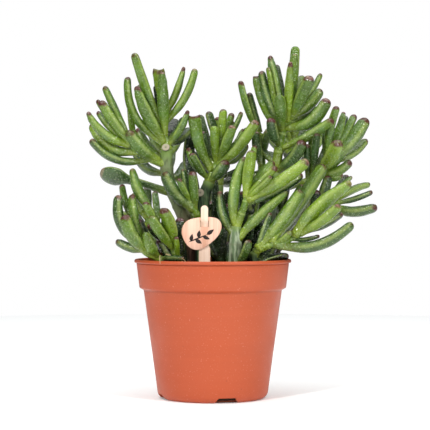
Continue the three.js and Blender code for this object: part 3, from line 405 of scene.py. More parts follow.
def wall_faces(rings, sides):
    """Quads between rings of as many vertices each."""
    return [(low + k, low + (k + 1) % sides, low + sides + (k + 1) % sides, low + sides + k)
            for low in range(0, (rings - 1) * sides, sides) for k in range(sides)]


def sweep_faces(rings, sides):
    """Faces of a closed sweep: its rings, then a vertex at each end."""
    foot, top = rings * sides, (rings - 1) * sides
    faces = wall_faces(rings, sides)
    for k in range(sides):
        nxt = (k + 1) % sides
        faces += [(foot, nxt, k), (foot + 1, top + k, top + nxt)]
    return faces


def prism_faces(rings, sides):
    """Faces of a closed body through flat sections, its two flat ends included."""
    last = (rings - 1) * sides
    return wall_faces(rings, sides) + [tuple(range(sides))[::-1], tuple(range(last, last + sides))]


class Shape:
    """Vertices, faces and attributes gathered for one piece."""

    def __init__(self):
        self.verts = []
        self.faces = []
        self.attributes = {}

    def add(self, verts, faces, **attributes):
        """Adds a body; an attribute is a value for each vertex, or one for them all."""
        self.faces += [tuple(i + len(self.verts) for i in face) for face in faces]
        self.verts += verts
        for key, values in attributes.items():
            if isinstance(values, float):
                values = [values] * len(verts)
            self.attributes.setdefault(key, []).extend(values)

    def make(self, name):
        return mesh_object(name, self.verts, self.faces, self.attributes)


def turned(name, profile, segments):
    """A turned mesh from a profile of (radius, height); a point on the axis is one vertex."""
    verts, faces, rings = [], [], []
    for radius, height in profile:
        if radius == 0:
            rings.append([len(verts)] * segments)
            verts.append((0, 0, height))
            continue
        rings.append(list(range(len(verts), len(verts) + segments)))
        verts += [(radius * c, radius * s, height) for c, s in circle(segments)]
    for low, high in zip(rings, rings[1:]):
        for k in range(segments):
            nxt = (k + 1) % segments
            faces.append(tuple(dict.fromkeys((low[k], low[nxt], high[nxt], high[k]))))
    return mesh_object(name, verts, faces)


def apply_modifiers(piece):
    mesh = bpy.data.meshes.new_from_object(
        piece.evaluated_get(bpy.context.evaluated_depsgraph_get()))
    old = piece.data
    piece.modifiers.clear()
    piece.data = mesh
    mesh.name = old.name
    bpy.data.meshes.remove(old)


def boolean(piece, tools, operation):
    """Applies a boolean of each tool to the piece."""
    for tool in tools:
        step = piece.modifiers.new("cut", "BOOLEAN")
        step.object = tool
        step.operation = operation
        step.solver = "EXACT"
        apply_modifiers(piece)


def smooth_with_edges(piece, angle):
    """Smooth shading that stays sharp where faces meet at more than the angle."""
    piece.data.polygons.foreach_set("use_smooth", [True] * len(piece.data.polygons))
    piece.data.set_sharp_from_angle(angle=math.radians(angle))


def place_piece(piece, material, slot, *nodes):
    """Gives a piece its material and body, and has it stand for the CAD nodes; the slot is not used.
    """
    piece.data.materials.clear()
    piece.data.materials.append(material)
    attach(piece, "root")
    if nodes:
        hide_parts(*nodes)


# ---- Leaves: the same middle lines as in the CAD model ----

SHAPES = {  # the CAD model's sections: (place, width share, thickness share)
    "finger": [(0, 0.4, 0.36), (0.36, 0.8, 0.7), (0.84, 1, 0.84), (1, 0.5, 0.42)],
    "pointed": [(0, 0.4, 0.36), (0.4, 1, 0.84), (0.8, 0.8, 0.68), (1, 0.3, 0.26)],
    "trumpet": [(0, 0.4, 0.36), (0.4, 0.7, 0.64), (0.9, 0.96, 0.84), (1, 1.02, 0.92)],
    "spoon": [(0, 0.34, 0.26), (0.45, 0.32, 0.2), (0.64, 0.44, 0.18), (0.78, 0.86, 0.2),
              (0.91, 1, 0.18), (1, 0.5, 0.12)],
}
FOOT_INSET = 0.6  # how far out from a stem's middle a leaf starts, as a share of its radius
EASE_SAMPLES = 8  # places along a leaf that are kept clear of other leaves and of stems
EASE_FROM = 0.3
EASE_ROUNDS = 60
EASE_MOST = 14
EASE_GAP = 0.8
LEVEL = 1e-6  # leaves that are this near in depth are ordered by number
STEM_STEP = 6
UP = np.array((0.0, 0.0, 1.0))
X_AXIS = np.array((1.0, 0.0, 0.0))


class Leaf:
    """A leaf's middle line, a curve from a foot to a tip that is bowed away from upright."""

    def __init__(self, name, kind, width, turn, foot, tip, bow):
        self.name = name
        self.kind = kind
        self.width = width
        self.turn = math.radians(turn)
        self.tip = np.array(tip, float)
        self.foot = np.array(foot, float)
        self.length = np.linalg.norm(self.tip - self.foot)
        chord = unit(self.tip - self.foot)
        inward = unit(UP - chord * chord[2])
        self.control = (self.foot + self.tip) / 2 - inward * 2 * bow

    @classmethod
    def growing(cls, shoot, number, row):
        """A leaf of a shoot, from its row in the table."""
        along, x, y, z, width, bow, *rest = row
        kind, turn = (*rest, *("finger", 0)[len(rest):])
        path = np.array(SHOOTS[shoot]["path"], float)
        i = min(int(along), len(path) - 2)
        middle = lerp(path[i], path[i + 1], along - i)
        tip = np.array((x, y, z), float)
        foot = middle[:3] + unit(tip - middle[:3]) * middle[3] * FOOT_INSET
        leaf = cls(f"{shoot}_leaf_{number}", kind, width, turn, foot, tip, bow)
        leaf.shoot = shoot
        leaf.alone = width >= LARGE_LEAF or along < SHOOTS[shoot]["green"]
        leaf.tints = next((tints for rows, tints in LEAF_TINTS if number in rows.get(shoot, ())),
                          USUAL_TINTS)
        return leaf

    def point(self, t):
        return (1 - t) ** 2 * self.foot + 2 * t * (1 - t) * self.control + t * t * self.tip

    def tangent(self, t):
        return unit((1 - t) * (self.control - self.foot) + t * (self.tip - self.control))

    def half_sizes(self, t):
        """Half the width and half the thickness at t."""
        return [self.width / 2 * table_value(FINE[self.kind], t, column) for column in (1, 2)]

    def ease(self, y):
        """Moves the tip in depth by y, and the rest of the leaf less towards its foot."""
        self.control[1] += y / 2
        self.tip[1] += y
        self.length = np.linalg.norm(self.tip - self.foot)


def girth_share(kind, t):
    """A leaf's mean of width and thickness at t, as a share of its width."""
    shape = SHAPES[kind]
    i = 0
    while i < len(shape) - 2 and t > shape[i + 1][0]:
        i += 1
    (t0, w0, h0), (t1, w1, h1) = shape[i], shape[i + 1]
    f = (t - t0) / (t1 - t0)
    return (lerp(w0, w1, f) + lerp(h0, h1, f)) / 2


def stem_samples(path):
    samples = []
    for a, b in zip(path, path[1:]):
        steps = math.ceil(np.linalg.norm(b[:3] - a[:3]) / STEM_STEP)
        samples += [lerp(a, b, k / steps) for k in range(steps)]
    return samples


def crossings(samples, other, skip):
    """Pairs that overlap as seen from the front, from samples (x, y, z, radius, weight, leaf)."""
    reach = samples[:, None, 3] + other[None, :, 3] + EASE_GAP
    beside = np.hypot(samples[:, None, 0] - other[None, :, 0],
                      samples[:, None, 2] - other[None, :, 2])
    a, b = np.nonzero((beside < reach) & ~skip)
    depth = samples[a, 1] - other[b, 1]
    order = np.where(np.abs(depth) > LEVEL, np.sign(depth),
                     np.sign(samples[a, 5] - other[b, 5]))
    needed = np.sqrt(reach[a, b] ** 2 - beside[a, b] ** 2)
    return np.stack((samples[a, 5], other[b, 5], order, depth, needed,
                     samples[a, 4], other[b, 4]), axis=1)


def all_crossings(leaves):
    """Crossings of every leaf with the leaves before it, and with the stems of other shoots."""
    rows = []
    for i, leaf in enumerate(leaves):
        for k in range(EASE_SAMPLES):
            t = lerp(EASE_FROM, 1, k / (EASE_SAMPLES - 1))
            rows.append((*leaf.point(t), leaf.width / 2 * girth_share(leaf.kind, t), t, i))
    samples = np.array(rows)
    stems, owners = [], []
    for name, shoot in SHOOTS.items():
        found = stem_samples(np.array(shoot["path"], float))
        stems += [(*s, 0, -1) for s in found]
        owners += [name] * len(found)
    own_stem = np.array([[leaves[int(i)].shoot == owner for owner in owners]
                         for i in samples[:, 5]])
    not_before = samples[:, None, 5] <= samples[None, :, 5]
    return np.concatenate((crossings(samples, samples, not_before),
                           crossings(samples, np.array(stems), own_stem)))


def ease_apart(leaves):
    """Eases leaves apart, front to back, just as the CAD model does."""
    i, j, order, depth, needed, weight, other_weight = all_crossings(leaves).T
    i, j = i.astype(int), j.astype(int)
    fixed = j < 0
    moved = np.zeros(len(leaves) + 1)  # the last one stands for the stems, which stay
    for _ in range(EASE_ROUNDS):
        short = needed - order * (depth + moved[i] * weight - moved[j] * other_weight)
        push = order * np.where(fixed, short, short / 2)
        back, front = np.zeros(len(moved)), np.zeros(len(moved))
        for which, amount, use in (
            (i, push / weight, short > 0),
            (j, -push / np.where(fixed, 1, other_weight), (short > 0) & ~fixed),
        ):
            np.maximum.at(back, which[use], amount[use])
            np.minimum.at(front, which[use], amount[use])
        moved[:-1] = np.clip(moved + (back + front) / 2, -EASE_MOST, EASE_MOST)[:-1]
    for leaf, y in zip(leaves, moved):
        leaf.ease(y)


def grow_leaves():
    leaves = [Leaf.growing(name, k + 1, row)
              for name, shoot in SHOOTS.items()
              for k, row in enumerate(shoot["leaves"])]
    ease_apart(leaves)
    return leaves


# ---- Fine leaf meshes ----

LEAF_SIDES = 20
LEAF_RINGS = 22
DOME_RINGS = 7
# Width and thickness along a leaf, as (place, share, share): slim at the foot, widest past
# the middle
FINE = {
    "finger": [(0, 0.6, 0.6), (0.1, 0.64, 0.64), (0.4, 1.0, 1.0), (0.66, 1.08, 1.04),
               (0.9, 0.98, 0.92), (1, 0.86, 0.8)],
    "pointed": [(0, 0.6, 0.6), (0.1, 0.64, 0.64), (0.4, 1.04, 1.0), (0.62, 1.06, 1.0),
                (0.86, 0.82, 0.76), (1, 0.5, 0.46)],
    "trumpet": [(0, 0.6, 0.6), (0.12, 0.62, 0.62), (0.45, 0.86, 0.86), (0.8, 0.98, 0.9),
                (0.93, 1.08, 0.96), (1, 0.94, 0.84)],
    "spoon": [(0, 0.36, 0.28), (0.4, 0.33, 0.24), (0.6, 0.44, 0.22), (0.8, 0.96, 0.26),
              (0.92, 1.0, 0.24), (1, 0.9, 0.22)],
}
# The hollow of a trumpet's open end, as (share of its width, how deep it sinks, pinkness of the
# hollow, partly painted highlight)
TRUMPET_END = [(0.96, -0.07, 0.1), (0.86, -0.06, 0.3), (0.7, 0.04, 0.6), (0.45, 0.14, 0.85),
               (0.2, 0.19, 1.0)]
TRUMPET_DEPTH = 0.2
TRUMPET_LOBE = 0.34  # how far the two lobes of an open end stand up
ROUNDNESS = {"pointed": 0.4}  # how far a closed tip reaches, as a share of the leaf's width
USUAL_ROUNDNESS = 0.55
RIDGES = 5  # faint lengthwise ridges that break up a leaf's gloss
RIDGE_DEPTH = 0.03
FLATTENED = 0.22  # how much lower the upper face is than a round one
CHANNELLED = 0.16
BULGING = 0.14  # how much lower the underside hangs
SWAY = 0.035  # how far the middle line wavers, as a share of the leaf's width
TWIST = 0.25
BLUSHES = (0.6, 0.85, 1.0, 1.0)
RED_REACH = (1.4, 3.4)  # how far the maroon reaches down from the tip
HIGHLIGHT_TIPS = 0.35  # the share of leaves with a painted pale highlight knob at the tip


def trumpet_rings(leaf):
    """Where the side of a trumpet ends, and its open end as in leaf_rings."""
    wide, thick = leaf.half_sizes(1.0)
    at, along = leaf.point(1.0), leaf.tangent(1.0)
    rings = [(at - along * sink * leaf.width, along, wide * share, thick * share, 1.0, dish)
             for share, sink, dish in TRUMPET_END]
    return 1.0, rings, at - along * TRUMPET_DEPTH * leaf.width


def dome_rings(leaf):
    """Where the side of a leaf ends, and its round tip as in leaf_rings."""
    dome = min(ROUNDNESS.get(leaf.kind, USUAL_ROUNDNESS) * leaf.width, 0.3 * leaf.length)
    start = 1 - (dome - 0.1 * leaf.width) / leaf.length
    wide, thick = leaf.half_sizes(start)
    at, along = leaf.point(start), leaf.tangent(start)
    rings = []
    for k in range(1, DOME_RINGS):
        angle = math.pi / 2 * k / DOME_RINGS
        share = math.cos(angle) ** 0.75
        forward = dome * math.sin(angle)
        rings.append((at + along * forward, along, wide * share, thick * share,
                      lerp(start, 1.0, math.sin(angle)), 0.0))
    return start, rings, at + along * dome


def leaf_rings(leaf):
    """Rings as (centre, tangent, half width, half thickness, place, dish), and the end point."""
    start, tip_rings, end = (trumpet_rings if leaf.kind == "trumpet" else dome_rings)(leaf)
    places = [start * (k / (LEAF_RINGS - 1)) ** 0.9 for k in range(LEAF_RINGS)]
    rings = [(leaf.point(t), leaf.tangent(t), *leaf.half_sizes(t), t, 0.0) for t in places]
    return rings + tip_rings, end


def add_leaf(shape, leaf, tint, rng):
    """Adds one leaf: a fleshy finger with a flattened, slightly channelled upper face."""
    rings, end = leaf_rings(leaf)
    trumpet = leaf.kind == "trumpet"
    blush = rng.choice(BLUSHES)
    if leaf.name in GREEN_TIPS:
        blush = 0.0
    red_from = 1 - rng.uniform(*RED_REACH) / leaf.length
    lip = rng.uniform(0.0, 0.5) if leaf.kind == "finger" else 0.35
    twist = rng.uniform(-TWIST, TWIST)
    sideways, upwards = [rng.uniform(-1, 1) * SWAY * leaf.width for _ in range(2)]
    phase = rng.uniform(0, 100)
    highlight_rings = 3 if rng.random() < HIGHLIGHT_TIPS and not trumpet else 0
    verts, grow, red, hollows_and_highlights, edges = [], [], [], [], []
    side = X_AXIS if trumpet else np.cross(UP, leaf.tip - leaf.foot)
    for n, (centre, along, wide, thick, t, dish) in enumerate(rings):
        across = unit(side - along * np.dot(side, along))
        normal = np.cross(along, across)
        turn = leaf.turn + twist * t
        across, normal = (across * math.cos(turn) + normal * math.sin(turn),
                          normal * math.cos(turn) - across * math.sin(turn))
        sway = math.sin(math.pi * t) * math.sin(5 * t + phase)
        middle = centre + across * sideways * sway + normal * upwards * sway
        flat = smoothstep(0.1, 0.5, t)
        for k, (c, s) in enumerate(circle(LEAF_SIDES)):
            angle = 2 * math.pi * k / LEAF_SIDES
            ridge = 1 + RIDGE_DEPTH * math.cos(RIDGES * angle + phase) * flat * (1 - dish)
            if s > 0:
                high = thick * s * (1 - FLATTENED * flat * s - CHANNELLED * flat * s ** 4)
            else:
                high = thick * s * (1 + BULGING * flat)
            # the tip leans outwards, so the end looks back over the stem
            lean = -lip * 0.5 * wide * (s + 1) / 2 * smoothstep(0.8, 1.0, t)
            if trumpet:
                lobe = TRUMPET_LOBE * wide * (c * c - 0.5)
                lean += lobe * smoothstep(0.75, 1.0, t) * (1 - 0.6 * dish)
            verts.append((middle + (across * c * wide + normal * high) * ridge
                          + along * lean) * MM)
            edge = abs(c) ** 6 * 3 / leaf.length
            reach = smoothstep(red_from - edge, red_from + 2 / leaf.length, t)
            red.append(blush * reach * (1 - 0.75 * smoothstep(0.4, 1.0, dish)))
            grow.append(t)
            # the last rings of some closed tips get a painted pale highlight
            hollows_and_highlights.append(0.75 if n >= len(rings) - highlight_rings else dish)
            edges.append(c ** 10 * smoothstep(0.1, 0.4, t))
    verts += [rings[0][0] * MM, (end - rings[-1][1] * lip * 0.15 * rings[-1][2]) * MM]
    shape.add(verts, sweep_faces(len(rings), LEAF_SIDES), tint=tint, grow=grow + [0.0, 1.0],
              blush=red + [0.0, blush * (0.25 if trumpet else 1.0)],
              dish=hollows_and_highlights + [0.0, 1.0 if trumpet else 0.0], edge=edges + [0.0, 0.0])


# ---- Stems ----

STEM_SIDES = 18
STEM_STEPS = 9  # rings between two path points
STEM_RIDGE = 0.035
COLLAR_SWELL = 0.1  # how much a stem swells at a path point
COLLAR_REACH = 0.1  # as a share of the way to the next path point
SCAR_RINGS = [(1.0, 0.0, 0.2), (0.96, 0.5, 0.5), (0.8, 0.8, 1.0), (0.5, 0.74, 0.9),
              (0.26, 0.66, 0.7)]  # (share of the radius, share of the height, paleness)
SCAR_MIDDLE = 0.6
SCAR_SIDES = 20
SCAR_HEIGHT = 0.9
# Scars as (stem, place on its surface, facing, radius)
SCARS = [
    ("left", (-35.8, -4.4, 191), (-0.1, -1, 0.55), 3.2),
    ("centre", (-9.5, -8.2, 156.5), (-0.2, -1, 0.15), 3.1),
    ("left", (-31.5, -4.6, 158), (-0.3, -1, 0.1), 2.2),
]


def add_stem(shape, path, tint, rng, swollen=True):
    """A tube along the path, slightly swollen at each path point."""
    points = np.array(path, float)
    padded = np.vstack((2 * points[0] - points[1], points, 2 * points[-1] - points[-2]))
    samples = []
    for i in range(len(points) - 1):
        for k in range(STEM_STEPS):
            f = k / STEM_STEPS
            samples.append((*catmull(*padded[i:i + 4], f), i + f))
    samples.append((*points[-1], len(points) - 1))
    samples = np.array(samples)
    phase = rng.uniform(0, 100)
    verts, grow, collars = [], [], []
    for n, (x, y, z, radius, place) in enumerate(samples):
        before, after = samples[max(n - 1, 0)], samples[min(n + 1, len(samples) - 1)]
        along = unit(after[:3] - before[:3])
        across = unit(np.cross((0, 1, 0), along))
        normal = np.cross(along, across)
        near = abs(place - round(place))
        collar = math.exp(-(near / COLLAR_REACH) ** 2) if swollen and place > 0 else 0.0
        swell = 1 + COLLAR_SWELL * collar
        for k, (c, s) in enumerate(circle(STEM_SIDES)):
            angle = 2 * math.pi * k / STEM_SIDES
            ridge = 1 + STEM_RIDGE * math.sin(3 * angle + 0.6 * place + phase)
            out = radius * swell * ridge
            verts.append((np.array((x, y, z)) + across * c * out + normal * s * out) * MM)
        grow += [place / (len(points) - 1)] * STEM_SIDES
        collars += [collar] * STEM_SIDES
    last = samples[-1]
    along = unit(last[:3] - samples[-2][:3])
    verts += [samples[0][:3] * MM, (last[:3] + along * last[3] * 0.6) * MM]
    shape.add(verts, sweep_faces(len(samples), STEM_SIDES), grow=grow + [0.0, 1.0], blush=0.0,
              tint=tint, dish=0.0, edge=collars + [0.0, 0.0])


def add_scar(shape, at, facing, radius):
    """A round scar where a branch or leaf was: a low pale rim with a hollow in it."""
    at = np.array(at)
    facing = unit(np.array(facing, float))
    across = unit(np.cross((0, 0, 1), facing))
    upward = np.cross(facing, across)
    verts, pale = [], []
    for share, rise, light in SCAR_RINGS:
        for c, s in circle(SCAR_SIDES):
            verts.append((at + facing * rise * SCAR_HEIGHT + across * c * radius * share
                          + upward * s * radius * share) * MM)
            pale.append(light)
    verts += [(at - facing * SCAR_HEIGHT) * MM, (at + facing * SCAR_MIDDLE * SCAR_HEIGHT) * MM]
    edge_light = SCAR_RINGS[0][2]
    shape.add(verts, sweep_faces(len(SCAR_RINGS), SCAR_SIDES), grow=0.5, blush=0.0, tint=0.5,
              dish=pale + [edge_light, edge_light], edge=0.0)


# ---- Colours ----

def srgb(r, g, b):
    """A display colour from 0 to 255 as a shader colour."""
    def channel(v):
        v /= 255
        return v / 12.92 if v <= 0.04045 else ((v + 0.055) / 1.055) ** 2.4
    return (channel(r), channel(g), channel(b), 1.0)


# painted shade, for the darkest leaves deep inside the plant and the low leaves between the stems
LEAF_PAINTED_SHADE = srgb(24, 36, 18)
LEAF_DARK = srgb(44, 71, 31)
LEAF_MID = srgb(86, 118, 29)
LEAF_BRIGHT = srgb(118, 146, 31)
LEAF_FOOT = srgb(150, 166, 60)
LEAF_MARGIN = srgb(172, 190, 104)
LEAF_COOL = srgb(90, 124, 80)
LEAF_DOT = srgb(176, 196, 140)
LEAF_RED = srgb(78, 20, 30)
# pink of the open tips' hollows, partly painted highlight, and of the painted highlight knobs
LEAF_PINK_AND_HIGHLIGHT = srgb(190, 150, 130)
BARK_BROWN = srgb(92, 66, 52)
BARK_GREY = srgb(112, 112, 80)
BARK_GREEN = srgb(112, 128, 84)
STEM_DARK = srgb(44, 66, 42)
STEM_MID = srgb(92, 116, 76)
STEM_PALE = srgb(168, 182, 150)
STEM_TOP = srgb(118, 146, 66)
SCAR_PALE = srgb(176, 164, 142)
POT_DEEP = srgb(176, 73, 35)
POT_LIGHT = srgb(184, 81, 42)
POT_SPECK = srgb(120, 60, 40)
POT_DUST = srgb(245, 190, 165)
CREASE_SHADE = 0.88
SOIL_DARK = srgb(26, 18, 13)
SOIL_BROWN = srgb(62, 44, 32)
SOIL_PALE = srgb(120, 98, 74)
DISC_WOOD = (srgb(246, 204, 180), srgb(220, 166, 138))
STICK_WOOD = (srgb(250, 222, 200), srgb(228, 190, 160))
INK = (srgb(30, 26, 24), srgb(48, 40, 36))
DRY_FIBRE = (srgb(214, 196, 150), srgb(168, 140, 98))
FLOOR_COLOUR = ((0.93, 0.93, 0.93, 1), (0.95, 0.95, 0.95, 1))
FLOOR_GLOW_COLOUR = (0.9, 1, 1, 1)
WHITE = (1, 1, 1, 1)


# ---- Materials ----

class Nodes:
    """A small helper for building a material's node tree."""

    def __init__(self, name, roughness, specular=0.5):
        self.material = bpy.data.materials.new(name)
        self.material.use_nodes = True
        self.tree = self.material.node_tree
        self.shader = self.tree.nodes["Principled BSDF"]
        self.set("Roughness", roughness)
        self.set("Specular IOR Level", specular)

    def feed(self, socket, value):
        if hasattr(value, "is_output"):
            self.tree.links.new(value, socket)
        else:
            socket.default_value = value

    def set(self, name, value):
        """Sets or links an input of the shader."""
        self.feed(self.shader.inputs[name], value)

    def new(self, kind, inputs=None, **settings):
        node = self.tree.nodes.new(kind)
        for key, value in settings.items():
            setattr(node, key, value)
        for key, value in (inputs or {}).items():
            self.feed(node.inputs[key], value)
        return node

    def attribute(self, name):
        return self.new("ShaderNodeAttribute", attribute_name=name).outputs["Fac"]

    def position(self, scale=(1, 1, 1)):
        place = self.new("ShaderNodeTexCoord").outputs["Object"]
        return self.new("ShaderNodeMapping", {"Scale": scale, "Vector": place}).outputs["Vector"]

    def height(self):
        return self.new("ShaderNodeSeparateXYZ", {0: self.position()}).outputs["Z"]

    def noise(self, scale, detail=3.0, vector=None, roughness=0.5):
        inputs = {"Scale": scale, "Detail": detail, "Roughness": roughness,
                  "Vector": vector or self.position()}
        return self.new("ShaderNodeTexNoise", inputs).outputs["Fac"]

    def cells(self, scale):
        inputs = {"Scale": scale, "Vector": self.position()}
        return self.new("ShaderNodeTexVoronoi", inputs).outputs["Distance"]

    def math(self, operation, a, b=0.5):
        return self.new("ShaderNodeMath", {0: a, 1: b}, operation=operation).outputs[0]

    def range(self, value, low, high, to_low=0.0, to_high=1.0):
        inputs = {"Value": value, "From Min": low, "From Max": high,
                  "To Min": to_low, "To Max": to_high}
        return self.new("ShaderNodeMapRange", inputs,
                        interpolation_type="SMOOTHSTEP").outputs["Result"]

    def ramp(self, value, *stops):
        node = self.new("ShaderNodeValToRGB", {"Fac": value})
        elements = node.color_ramp.elements
        while len(elements) < len(stops):
            elements.new(0.5)
        for element, (place, colour) in zip(elements, stops):
            element.position = place
            element.color = colour
        return node.outputs["Color"]

    def mix(self, factor, a, b, blend="MIX"):
        return self.new("ShaderNodeMix", {0: factor, 6: a, 7: b}, data_type="RGBA",
                        blend_type=blend).outputs[2]

    def shade(self, colour, amount):
        return self.mix(1.0, colour, amount, "MULTIPLY")

    def bump(self, height, distance, strength=1.0):
        inputs = {"Strength": strength, "Distance": distance, "Height": height}
        self.set("Normal", self.new("ShaderNodeBump", inputs).outputs["Normal"])


def leaf_material():
    m = Nodes("leaf_skin", 0.3, 0.5)
    grow, tint = m.attribute("grow"), m.attribute("tint")
    # a tint near 0 gives the painted shade of leaves deep inside the plant
    flesh = m.ramp(tint, (0.0, LEAF_PAINTED_SHADE), (0.2, LEAF_DARK), (0.55, LEAF_MID), (1.0, LEAF_BRIGHT))
    # paler and yellower towards the foot, but not on dark leaves
    foot = m.math("MULTIPLY", m.range(grow, 0.0, 0.42, 0.62, 0.0),
                  m.range(tint, 0.0, 0.4, 0.15, 1.0))
    flesh = m.mix(foot, flesh, LEAF_FOOT)
    # blotches, darker, lighter and cooler
    flesh = m.shade(flesh, m.range(m.noise(70, 4), 0.3, 0.7, 0.74, 1.16))
    flesh = m.mix(m.range(m.noise(110, 2), 0.5, 0.75, 0.0, 0.45), flesh, LEAF_COOL)
    # small pale dots in the skin
    dots = m.cells(620)
    flesh = m.mix(m.range(dots, 0.16, 0.3, 0.42, 0.0), flesh, LEAF_DOT)
    # paler margins and collars
    flesh = m.mix(m.range(m.attribute("edge"), 0.3, 1.0, 0.0, 0.45), flesh, LEAF_MARGIN)
    # maroon tips, with a pinkish hollow in the open ones that is partly painted highlight,
    # and a painted pale highlight knob on some closed tips
    uneven = m.range(m.noise(260, 2), 0.25, 0.75, 0.55, 1.25)
    red = m.math("MULTIPLY", m.attribute("blush"), uneven)
    flesh = m.mix(m.range(red, 0.05, 0.85, 0.0, 0.92), flesh, LEAF_RED)
    flesh = m.mix(m.range(m.attribute("dish"), 0.5, 1.0, 0.0, 0.55), flesh, LEAF_PINK_AND_HIGHLIGHT)
    m.set("Base Color", flesh)
    m.set("Roughness", m.range(m.noise(160, 3), 0.3, 0.7, 0.14, 0.28))
    m.set("Coat Weight", 0.2)
    m.set("Coat Roughness", 0.06)
    m.set("Subsurface Weight", 0.12)
    m.set("Subsurface Radius", (0.6, 1.0, 0.25))
    m.set("Subsurface Scale", 0.0015)
    m.bump(m.math("ADD", m.noise(420, 3), m.math("MULTIPLY", dots, 0.8)), 0.0006)
    return m.material


def bark_material():
    m = Nodes("stem_bark", 0.6, 0.35)
    tint = m.attribute("tint")
    # old wood is brown at its foot and greener higher up
    height = m.range(m.height(), RIM + 0.012, RIM + 0.055)
    long_grain = m.noise(170, 5, m.position((1, 1, 0.14)), 0.65)
    aged = m.ramp(m.math("ADD", height, m.range(long_grain, 0.3, 0.7, -0.2, 0.2)),
                  (0.0, BARK_BROWN), (0.5, BARK_GREY), (1.0, BARK_GREEN))
    # younger wood is striped, and silvery where the tint is highest
    stripes = m.range(m.noise(260, 4, m.position((1, 1, 0.1)), 0.6), 0.38, 0.62)
    colour = m.mix(m.range(tint, 0.0, 0.6), aged, m.mix(stripes, STEM_DARK, STEM_MID))
    colour = m.mix(m.range(tint, 0.7, 1.0), colour, m.mix(stripes, STEM_MID, STEM_PALE))
    colour = m.shade(colour, m.range(m.noise(520, 4, m.position((1, 1, 0.3))), 0.5, 0.66, 1.0, 0.5))
    colour = m.mix(m.range(m.attribute("grow"), 0.86, 1.0, 0.0, 0.8), colour, STEM_TOP)
    colour = m.mix(m.range(m.attribute("edge"), 0.5, 1.0, 0.0, 0.35), colour, BARK_GREY)
    colour = m.mix(m.range(m.attribute("dish"), 0.1, 1.0, 0.0, 0.9), colour, SCAR_PALE)
    m.set("Base Color", colour)
    m.bump(m.math("ADD", long_grain, m.noise(620, 3, m.position((1, 1, 0.4)))), 0.0006, 0.8)
    return m.material


def pot_material():
    m = Nodes("pot_plastic", 0.42, 0.42)
    broad = m.range(m.noise(9, 3, m.position((1, 1, 0.35))), 0.3, 0.7)
    colour = m.mix(broad, POT_DEEP, POT_LIGHT)
    rings = m.noise(30, 2, m.position((0.15, 0.15, 6)))
    colour = m.shade(colour, m.range(rings, 0.35, 0.65, 0.98, 1.01))
    colour = m.mix(m.range(m.cells(95), 0.028, 0.05, 0.5, 0.0), colour, POT_SPECK)
    colour = m.mix(m.range(m.noise(900, 2), 0.62, 0.8, 0.0, 0.25), colour, POT_DUST)
    # shade in the creases under the lip and under the band
    height = m.height()
    for crease in (RIM - LIP_HEIGHT, BODY_TOP_Z):
        away = m.math("ABSOLUTE", m.math("SUBTRACT", height, crease))
        colour = m.shade(colour, m.range(away, 0.2 * MM, 1.3 * MM, CREASE_SHADE, 1.0))
    m.set("Base Color", colour)
    m.set("Roughness", m.range(m.noise(40, 4), 0.3, 0.7, 0.36, 0.52))
    m.bump(m.noise(1500, 2), 0.00004, 0.5)
    return m.material


def soil_material():
    m = Nodes("potting_soil", 0.95, 0.15)
    grain = m.noise(420, 6, None, 0.7)
    m.set("Base Color", m.ramp(grain, (0.3, SOIL_DARK), (0.62, SOIL_BROWN), (0.8, SOIL_PALE)))
    m.bump(grain, 0.0012)
    return m.material


def wood_material(name, colours, grain_scale):
    m = Nodes(name, 0.62, 0.3)
    grain = m.noise(grain_scale, 5, m.position((1, 1, 0.05)), 0.7)
    fibres = m.noise(grain_scale * 5, 3, m.position((1, 1, 0.03)))
    colour = m.mix(m.range(grain, 0.35, 0.7), *colours)
    m.set("Base Color", m.mix(m.range(fibres, 0.5, 0.75, 0.0, 0.35), colour, colours[1]))
    m.bump(fibres, 0.0001, 0.5)
    return m.material


def plain_material(name, colours, scale, roughness):
    m = Nodes(name, roughness, 0.3)
    m.set("Base Color", m.mix(m.range(m.noise(scale, 4), 0.3, 0.7), *colours))
    return m.material


# ---- Pot ----

POT_SEGMENTS = 144
GROOVE = 0.7 * MM  # under the lip
POCKET_FLOOR = FLOOR * 0.3


def rounded(corners, radius, steps=5):
    """Corners as (radius, height) with each inner corner eased by a small arc."""
    points = [corners[0]]
    for a, b, c in zip(corners, corners[1:], corners[2:]):
        a, b, c = Vector(a), Vector(b), Vector(c)
        size = min(radius, (a - b).length * 0.45, (c - b).length * 0.45)
        start, end = b + (a - b).normalized() * size, b + (c - b).normalized() * size
        for k in range(steps + 1):
            f = k / steps
            points.append(tuple((1 - f) ** 2 * start + 2 * f * (1 - f) * b + f * f * end))
    return points + [corners[-1]]


def body_radius(z):
    return FOOT_RADIUS + (BODY_TOP_RADIUS - FOOT_RADIUS) * z / BODY_TOP_Z


